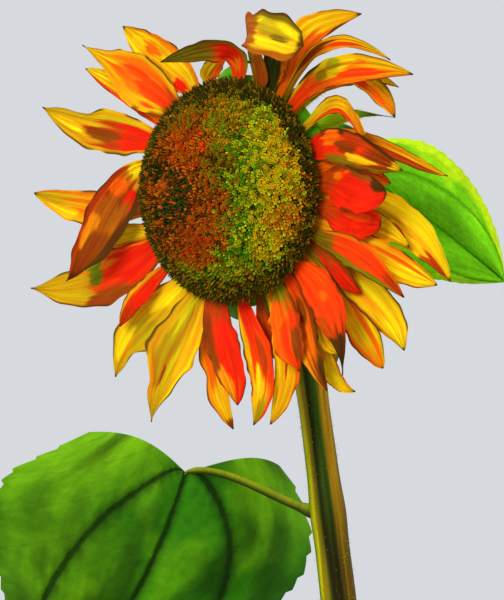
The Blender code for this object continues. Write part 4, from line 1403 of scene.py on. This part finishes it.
def leaf_tint(paint, seed, along, across, side):
    blot = noise.noise((across * 2.2, along * 3.2, seed))
    fleck = noise.noise((across * 7, along * 9, seed + 3))
    flank = colour_of(paint.right if across > 0 else paint.left)
    tint = blend(colour_of(paint.middle), flank, smooth((abs(across) + 0.4 * blot) / 0.5))
    # the lobe tone over the lobes and the light places: a painted highlight on the big leaf under the head
    light = noise.noise((across * 3.4, along * 5.0, seed + 12)) + 0.3 * fleck
    lobe = smooth((LOBE_END - along + 0.15 * fleck) / LOBE_FADE)
    lobe *= smooth((0.3 * blot + abs(across) - LOBE_FROM) / LOBE_SPREAD)
    lobe = max(lobe, smooth((light - 0.12) / 0.3) * PAINTED_LIGHT_SHARE)
    tint = blend(tint, colour_of(paint.lobe), lobe * LOBE_SHARE)
    # painted shade along the veins
    unshaded_share = smooth((vein_distance(along, across) - 0.5) / VEIN_PAINTED_SHADE_REACH + 0.5 * blot)
    tint = blend(colour_of(paint.shade), tint, 0.25 + 0.75 * unshaded_share)
    patch = noise.noise((across * 3.1, along * 4.3, seed + 6))
    patch += 0.4 * noise.noise((across * 9, along * 6, seed + 8))
    tint = blend(tint, colour_of(paint.shade), smooth(patch / 0.45) * LEAF_PATCHINESS)
    # the margin is fullest on the + flank; on the young leaf that is its upper flank, and it is painted
    # light there
    outer = smooth((abs(across) + 0.2 * fleck - MARGIN_REACH) / MARGIN_SPREAD)
    outer *= 1 if across > 0 else FAINT_MARGIN
    tint = blend(tint, colour_of(paint.margin), outer * paint.margin_share)
    if side < 0:
        tint = blend(tint, colour_of("lime"), UNDERSIDE_SHARE)
    return tint * (1 + 0.25 * fleck + 0.2 * blot)


print("the veins darken the blade", VEIN_PAINTED_SHADE_REACH, "mm to each side")

# %% [markdown]
# A stalk and the stem are both tubes: a grid is rolled up round a line, and the sideways direction is
# carried from ring to ring, so that a tube never twists. The grid's first and last columns meet and are
# merged, and a face fills each end.

# %% Tubes
NEAR_X = 0.9  # a tube that starts along X has its sideways direction from Y


def tube(rows, sides, centre, radius, start, end, tint, spot):
    """A closed tube: a grid rolled up round centre(along), radius(along, turn) away from it."""
    shape = bmesh.new()
    tints = shape.verts.layers.float_color.new("tint")
    spots = shape.verts.layers.float_vector.new("spot")
    bmesh.ops.create_grid(shape, x_segments=sides, y_segments=rows, size=1.0)
    centres = [centre(i / rows) for i in range(rows + 1)]
    across = Vector((0, 1, 0)) if abs(start.x) > NEAR_X else Vector((1, 0, 0))
    axes = []
    for i in range(rows + 1):
        onwards = centres[min(i + 1, rows)] - centres[max(i - 1, 0)]
        way = {0: start, rows: end}.get(i, onwards.normalized())
        across = (across - way * across.dot(way)).normalized()
        axes.append((across, way.cross(across)))
    for vert in shape.verts:
        along, turn = (vert.co.y + 1) / 2, (vert.co.x + 1) / 2
        index = round(along * rows)
        first, second = axes[index]
        angle = 2 * math.pi * turn
        outward = first * math.cos(angle) + second * math.sin(angle)
        vert[tints] = (*tint(along, outward), 1.0)
        vert[spots] = spot(along, turn)
        vert.co = centres[index] + outward * radius(along, turn)
    bmesh.ops.remove_doubles(shape, verts=shape.verts[:], dist=MERGE_REACH)
    bmesh.ops.holes_fill(shape, edges=[edge for edge in shape.edges if edge.is_boundary])
    return shape


print("a tube that starts within", round(math.degrees(math.acos(NEAR_X))), "degrees of X is measured from Y")

# %% [markdown]
# The stalk swells where it leaves the stem and thins out to the leaf. Along its top it has a painted
# highlight, and underneath it has painted shade. It starts inside the stem and ends in the blade, so that
# no gap can open at either end.

# %% The stalks
PETIOLE_ROWS = 40
PETIOLE_SIDES = 14
PETIOLE_ROOT = 3.0 * MM  # how far the stalk starts inside the stem
PETIOLE_FOOT_SWELL = 0.55
PETIOLE_END_SHARE = 0.45
PETIOLE_END_FROM = 0.9
PETIOLE_SINK_SHOWN = 0.008  # of its length: any more would stand out of the blade
PETIOLE_RIBS = 5
PETIOLE_RIB_SHARE = 0.05
OFF_BLADE = 3.0  # what a stalk has for "across", as it has no veins


def stalk(leaf, seed):
    start, away, end = leaf_base(leaf)
    way = (away * 3 + midrib(leaf, 0.02)[1]).normalized()
    span = (end - start).length
    leaving = start + away * (PETIOLE_PULL * span) + Vector((0, 0, PETIOLE_LIFT * span))
    points = (start - away * PETIOLE_ROOT, leaving, end - way * (PETIOLE_PULL * span), end)
    inside = midrib(leaf, PETIOLE_SINK * leaf.length * MM)[0]

    def centre(along):
        bent = along * (1 + PETIOLE_SINK_SHOWN)
        return bezier(points, bent) if bent <= 1 else end.lerp(inside, (bent - 1) / PETIOLE_SINK)

    def radius(along, turn):
        thick = PETIOLE_RADIUS + (PETIOLE_END_RADIUS - PETIOLE_RADIUS) * along
        rib = 1 + PETIOLE_RIB_SHARE * math.cos(math.pi * 2 * PETIOLE_RIBS * turn)
        thinning = 1 - (1 - PETIOLE_END_SHARE) * smooth((along - PETIOLE_END_FROM) / (1 - PETIOLE_END_FROM))
        return thick * rib * thinning * (1 + PETIOLE_FOOT_SWELL * (1 - smooth(along * 7)))

    def tint(along, outward):
        # painted shade underneath the stalk, and a painted highlight of lime along its top
        painted_top_highlight = smooth((outward.z - 0.1) / 0.8)
        tint = blend(colour_of("moss"), colour_of("leafy"), smooth(outward.z + 0.45))
        return blend(tint, colour_of("lime"), painted_top_highlight * painted_top_highlight * 0.45)

    return tube(PETIOLE_ROWS, PETIOLE_SIDES, centre, radius, away, way, tint,
                lambda along, turn: (OFF_BLADE, along, seed))


print("a stalk thins to", round(2 * PETIOLE_END_RADIUS / MM, 1), "mm")

# %% [markdown]
# The fine veins are only lines, so the shader draws them, by the same sums that shape the blade. A noise
# makes them ragged. The leaves differ in how their veins stand out: faint, dark or pale. The dark lines,
# on the big leaf under the head, are painted shade in the veins' grooves.

# %% The leaves' finish
GREEN_GLOSS = 0.05  # leaves and stem shine a little more than petals


def leaf_finish(name, vein_tone):
    finish = Finish(name, 0.5, GREEN_GLOSS)
    across, along, seed = finish.split(finish.attribute("spot"))
    reach = abs(across)
    side_vein = SIDE_VEIN_SPREAD * (along.math("MAXIMUM", 0.0) / SIDE_VEIN_REACH) ** 0.5
    pairs = (along + 2 * PAIR_STEP - PAIR_SLANT * reach).math("PINGPONG", PAIR_STEP / 2) * VEIN_LENGTH
    main = (reach * VEIN_HALF).math("MINIMUM", abs(reach - side_vein) * (VEIN_HALF * 0.8))
    fine = finish.noise(finish.join(across * 9.0, along * 16.0, seed), 2.0, 3)
    on_blade = 1 - finish.step(reach, 1.2, 1.6)
    thick = finish.step(main + (fine - 0.5) * 2.4, 2.6, 0.6)
    thin = finish.step(pairs + (fine - 0.5) * 3.0, 1.6, 0.4) * 0.1
    lines = thick.math("MAXIMUM", thin) * on_blade
    tint = finish.brighten(finish.attribute("tint"), 0.62 + 0.76 * fine)
    finish.set("Base Color", finish.mix(tint, PALETTE[vein_tone], lines * 0.75))
    finish.set("Roughness", 0.42 + 0.25 * fine)
    finish.bump(fine * 0.6 - lines * 0.5, 0.0015)
    return finish


# painted shade: dark vein lines for the big leaf under the head
DARK_VEINED = leaf_finish("leaf_dark_veins", "pine")
FAINT_VEINED = leaf_finish("leaf_faint_veins", "grass")
PALE_VEINED = leaf_finish("leaf_pale_veins", "lime")
VEINED = {0: FAINT_VEINED, 1: DARK_VEINED}
print("a leaf's finish has", len(PALE_VEINED.tree.nodes), "nodes")

# %% [markdown]
# A whole leaf is its blade and its stalk in one mesh. The blade is turned outwards before the stalk comes
# in, because only a single closed body can tell its inside from its outside.

# %% The whole leaves
LEAF_SEED = 11.0
LEAF_SEED_STEP = 4.3


def whole_leaf(index, leaf):
    seed = LEAF_SEED + index * LEAF_SEED_STEP
    paint = LEAF_PAINTS.get(index, LOWER_PAINT)
    place, tint = partial(leaf_point, leaf, seed), partial(leaf_tint, paint, seed)
    shape = blade(LEAF_ROWS, LEAF_COLUMNS, place, tint, seed)
    turn_outwards(shape)
    join_into(shape, stalk(leaf, seed))
    return shape


for index, leaf in enumerate(LEAVES):
    show_shape(f"grown_leaf_{index + 1:02d}", whole_leaf(index, leaf), VEINED.get(index, PALE_VEINED),
               f"leaf_{index + 1:02d}", "leaf_green")
print(len(LEAVES), "leaves grown")

# %% [markdown]
# The stem's tube follows the leaning line and then the neck, and takes its ribs and the swellings at the
# leaves from its radius.

# %% The stem's form
STEM_ROWS = 330
STEM_SIDES = 48
STEM_RIBS = 11
RIB_SHARE = 0.022
NODE_SWELL = 0.09
NODE_REACH = 0.016
NECK_SHARE = 0.12  # of the stem's length
NECK = neck_points()


def stem_line(along):
    straight = 1 - NECK_SHARE
    if along <= straight:
        return stem_centre(STEM_STRAIGHT_TOP * along / straight)
    return bezier(NECK, (along - straight) / NECK_SHARE)


def stem_round(along, turn):
    height = STEM_STRAIGHT_TOP * along / (1 - NECK_SHARE)
    base = stem_radius(height)
    if height > STEM_STRAIGHT_TOP:
        base += (NECK_RADIUS - base) * (along + NECK_SHARE - 1) / NECK_SHARE
    rib = math.cos(2 * math.pi * STEM_RIBS * turn + 2.5 * noise.noise((height * 4, 0, 0)))
    nodes = sum(math.exp(-((height - leaf.height) / NODE_REACH) ** 2) for leaf in LEAVES)
    return base * (1 + RIB_SHARE * rib * smooth(height * 20) + NODE_SWELL * min(nodes, 1))


print("a rib stands at most", round(RIB_SHARE * stem_radius(0) / MM, 2), "mm proud")

# %% [markdown]
# The stem's colours run up it in bands, and a noise makes them wander. The bands are painted light and
# shade, set by the way that the face looks: a painted highlight of lime on the left edge, painted shade of
# dark green down the middle, and painted warm light of ochre and bronze on the right side. Lower down, more
# painted shade darkens the middle and the right. Fine streaks along it are left to the shader.

# %% The stem's colours
# painted light: a lime highlight on the left edge, dark painted shade in the middle, ochre and bronze
# painted light on the right
STEM_PAINTED_LIGHT_BANDS = [(-1.0, "leafy"), (-0.92, "lime"), (-0.8, "mustard"), (-0.62, "olive"), (-0.35, "pine"),
              (-0.05, "moss"), (0.15, "ivy"), (0.32, "bronze"), (0.5, "ochre"), (0.68, "bronze"),
              (0.84, "ochre"), (1.0, "moss")]
BAND_WANDER = 0.22
# painted shade: lower down, the middle and right of the stem are painted darker
STEM_PAINTED_SHADE_FROM = 0.83  # below this the stem's shaded side grows darker
STEM_PAINTED_SHADE_OVER = 0.06
STEM_PAINTED_SHADE_SHARE = 0.85


def stem_tint(along, outward):
    """Painted highlight and painted shade in bands by the way that the face looks, so that they run up the
    stem like strokes.
    """
    where = outward.x + BAND_WANDER * noise.noise((outward.x * 2, outward.y * 2, along * 12))
    for (low, first), (high, second) in zip(STEM_PAINTED_LIGHT_BANDS, STEM_PAINTED_LIGHT_BANDS[1:]):
        if where <= high:
            break
    tint = blend(colour_of(first), colour_of(second), (where - low) / (high - low))
    # painted shade on the middle and right of the lower stem
    painted_shade = smooth((STEM_PAINTED_SHADE_FROM - along) / STEM_PAINTED_SHADE_OVER) * smooth((where + 0.45) / 0.3)
    dark = blend(colour_of("umber") * 0.15, colour_of("bronze") * 0.4, smooth((where - 0.15) / 0.35))
    tint = blend(tint, dark, painted_shade * STEM_PAINTED_SHADE_SHARE)
    tint = blend(tint, colour_of("leafy"), smooth(outward.y * 2))
    streak = noise.noise((outward.x * 12, outward.y * 12, along * 7))
    return tint * (1 + 0.8 * streak)


def stem_finish():
    finish = Finish("stem", 0.5, GREEN_GLOSS)
    x, y, z = finish.split(finish.place())
    streaks = finish.noise(finish.join(x * 260.0, y * 260.0, z * 9.0), 1.0, 4)
    grain = finish.noise(finish.place(), 420, 2)
    finish.set("Base Color", finish.brighten(finish.attribute("tint"), 0.5 + 0.75 * streaks + 0.25 * grain))
    finish.bump(streaks + grain * 0.4, 0.0015)
    return finish


forward = HEAD.to_3x3().col[2]
stem_shape = tube(STEM_ROWS, STEM_SIDES, stem_line, stem_round, Vector((0, 0, 1)), forward, stem_tint,
                  lambda along, turn: (turn, along, 0))
show_shape("ribbed_stem", stem_shape, stem_finish(), "stem", "stem_green")
print("the stem is", round(NECK[-1].z, 3), "m tall at the cup")

# %% [markdown]
# The stem's hairs stand on its skin by chance, leaning up a little.

# %% The stem's hairs
STEM_HAIRS = 3200


def stem_hair_places(dice):
    places = []
    for _ in range(STEM_HAIRS):
        along, turn = dice.uniform(0.02, 0.99), dice.random()
        centre = stem_line(along)
        way = (stem_line(min(along + 0.004, 1)) - stem_line(along - 0.004)).normalized()
        outward = Vector((math.cos(2 * math.pi * turn), math.sin(2 * math.pi * turn), 0))
        outward = (outward - way * outward.dot(way)).normalized()
        height = STEM_STRAIGHT_TOP * along / (1 - NECK_SHARE)
        point = centre + outward * stem_radius(height)
        leaning = (outward + way * dice.uniform(-0.2, 0.8)).normalized()
        places.append(facing(point, leaning, 0.0, dice.uniform(0.6, 1.1)))
    return places


show_many("stem_hairs", HAIR, stem_hair_places(random.Random(8)), plain_finish("hairs", "lime", 0.6),
          "stem")
print(STEM_HAIRS, "hairs on the stem")

# %% [markdown]
# The plant stands on a plain pale floor. A large soft lamp from the upper left draws the forms, a weaker
# one fills in from the right, and a pale sky lights the rest. Small lamps would make hard shadows that
# hide the petals behind.

# %% Floor, lamps and sky
FLOOR_RADIUS = 3.0
FLOOR_COLOUR = (0.62, 0.62, 0.60)
SKY = (0.90, 0.93, 0.97)
SKY_STRENGTH = 0.75
Lamp = namedtuple("Lamp", "name place size power")
LAMPS = [Lamp("key", (-2.0, -3.0, 3.0), 2.0, 120), Lamp("fill", (2.6, -2.6, 1.6), 2.4, 35)]


def floor():
    shape = bmesh.new()
    bmesh.ops.create_circle(shape, cap_ends=True, segments=128, radius=FLOOR_RADIUS)
    mesh = bpy.data.meshes.new("floor")
    shape.to_mesh(mesh)
    shape.free()
    finish = Finish("floor", 0.9, 0.1)
    finish.set("Base Color", FLOOR_COLOUR)
    mesh.materials.append(finish.material)
    made = bpy.data.objects.new("floor", mesh)
    bpy.context.collection.objects.link(made)
    return made


def hang(lamp):
    light = bpy.data.lights.new(lamp.name, "AREA")
    light.shape = "DISK"
    light.size = lamp.size
    light.energy = lamp.power
    made = bpy.data.objects.new(lamp.name, light)
    made.location = lamp.place
    made.rotation_euler = (HEAD_CENTRE - Vector(lamp.place)).to_track_quat("-Z", "Y").to_euler()
    bpy.context.collection.objects.link(made)


floor()
for lamp in LAMPS:
    hang(lamp)
sky = bpy.data.worlds.new("sky")
sky.use_nodes = True
sky.node_tree.nodes["Background"].inputs["Color"].default_value = (*SKY, 1.0)
sky.node_tree.nodes["Background"].inputs["Strength"].default_value = SKY_STRENGTH
bpy.context.scene.world = sky
print(len(LAMPS), "lamps and a sky")

# %% [markdown]
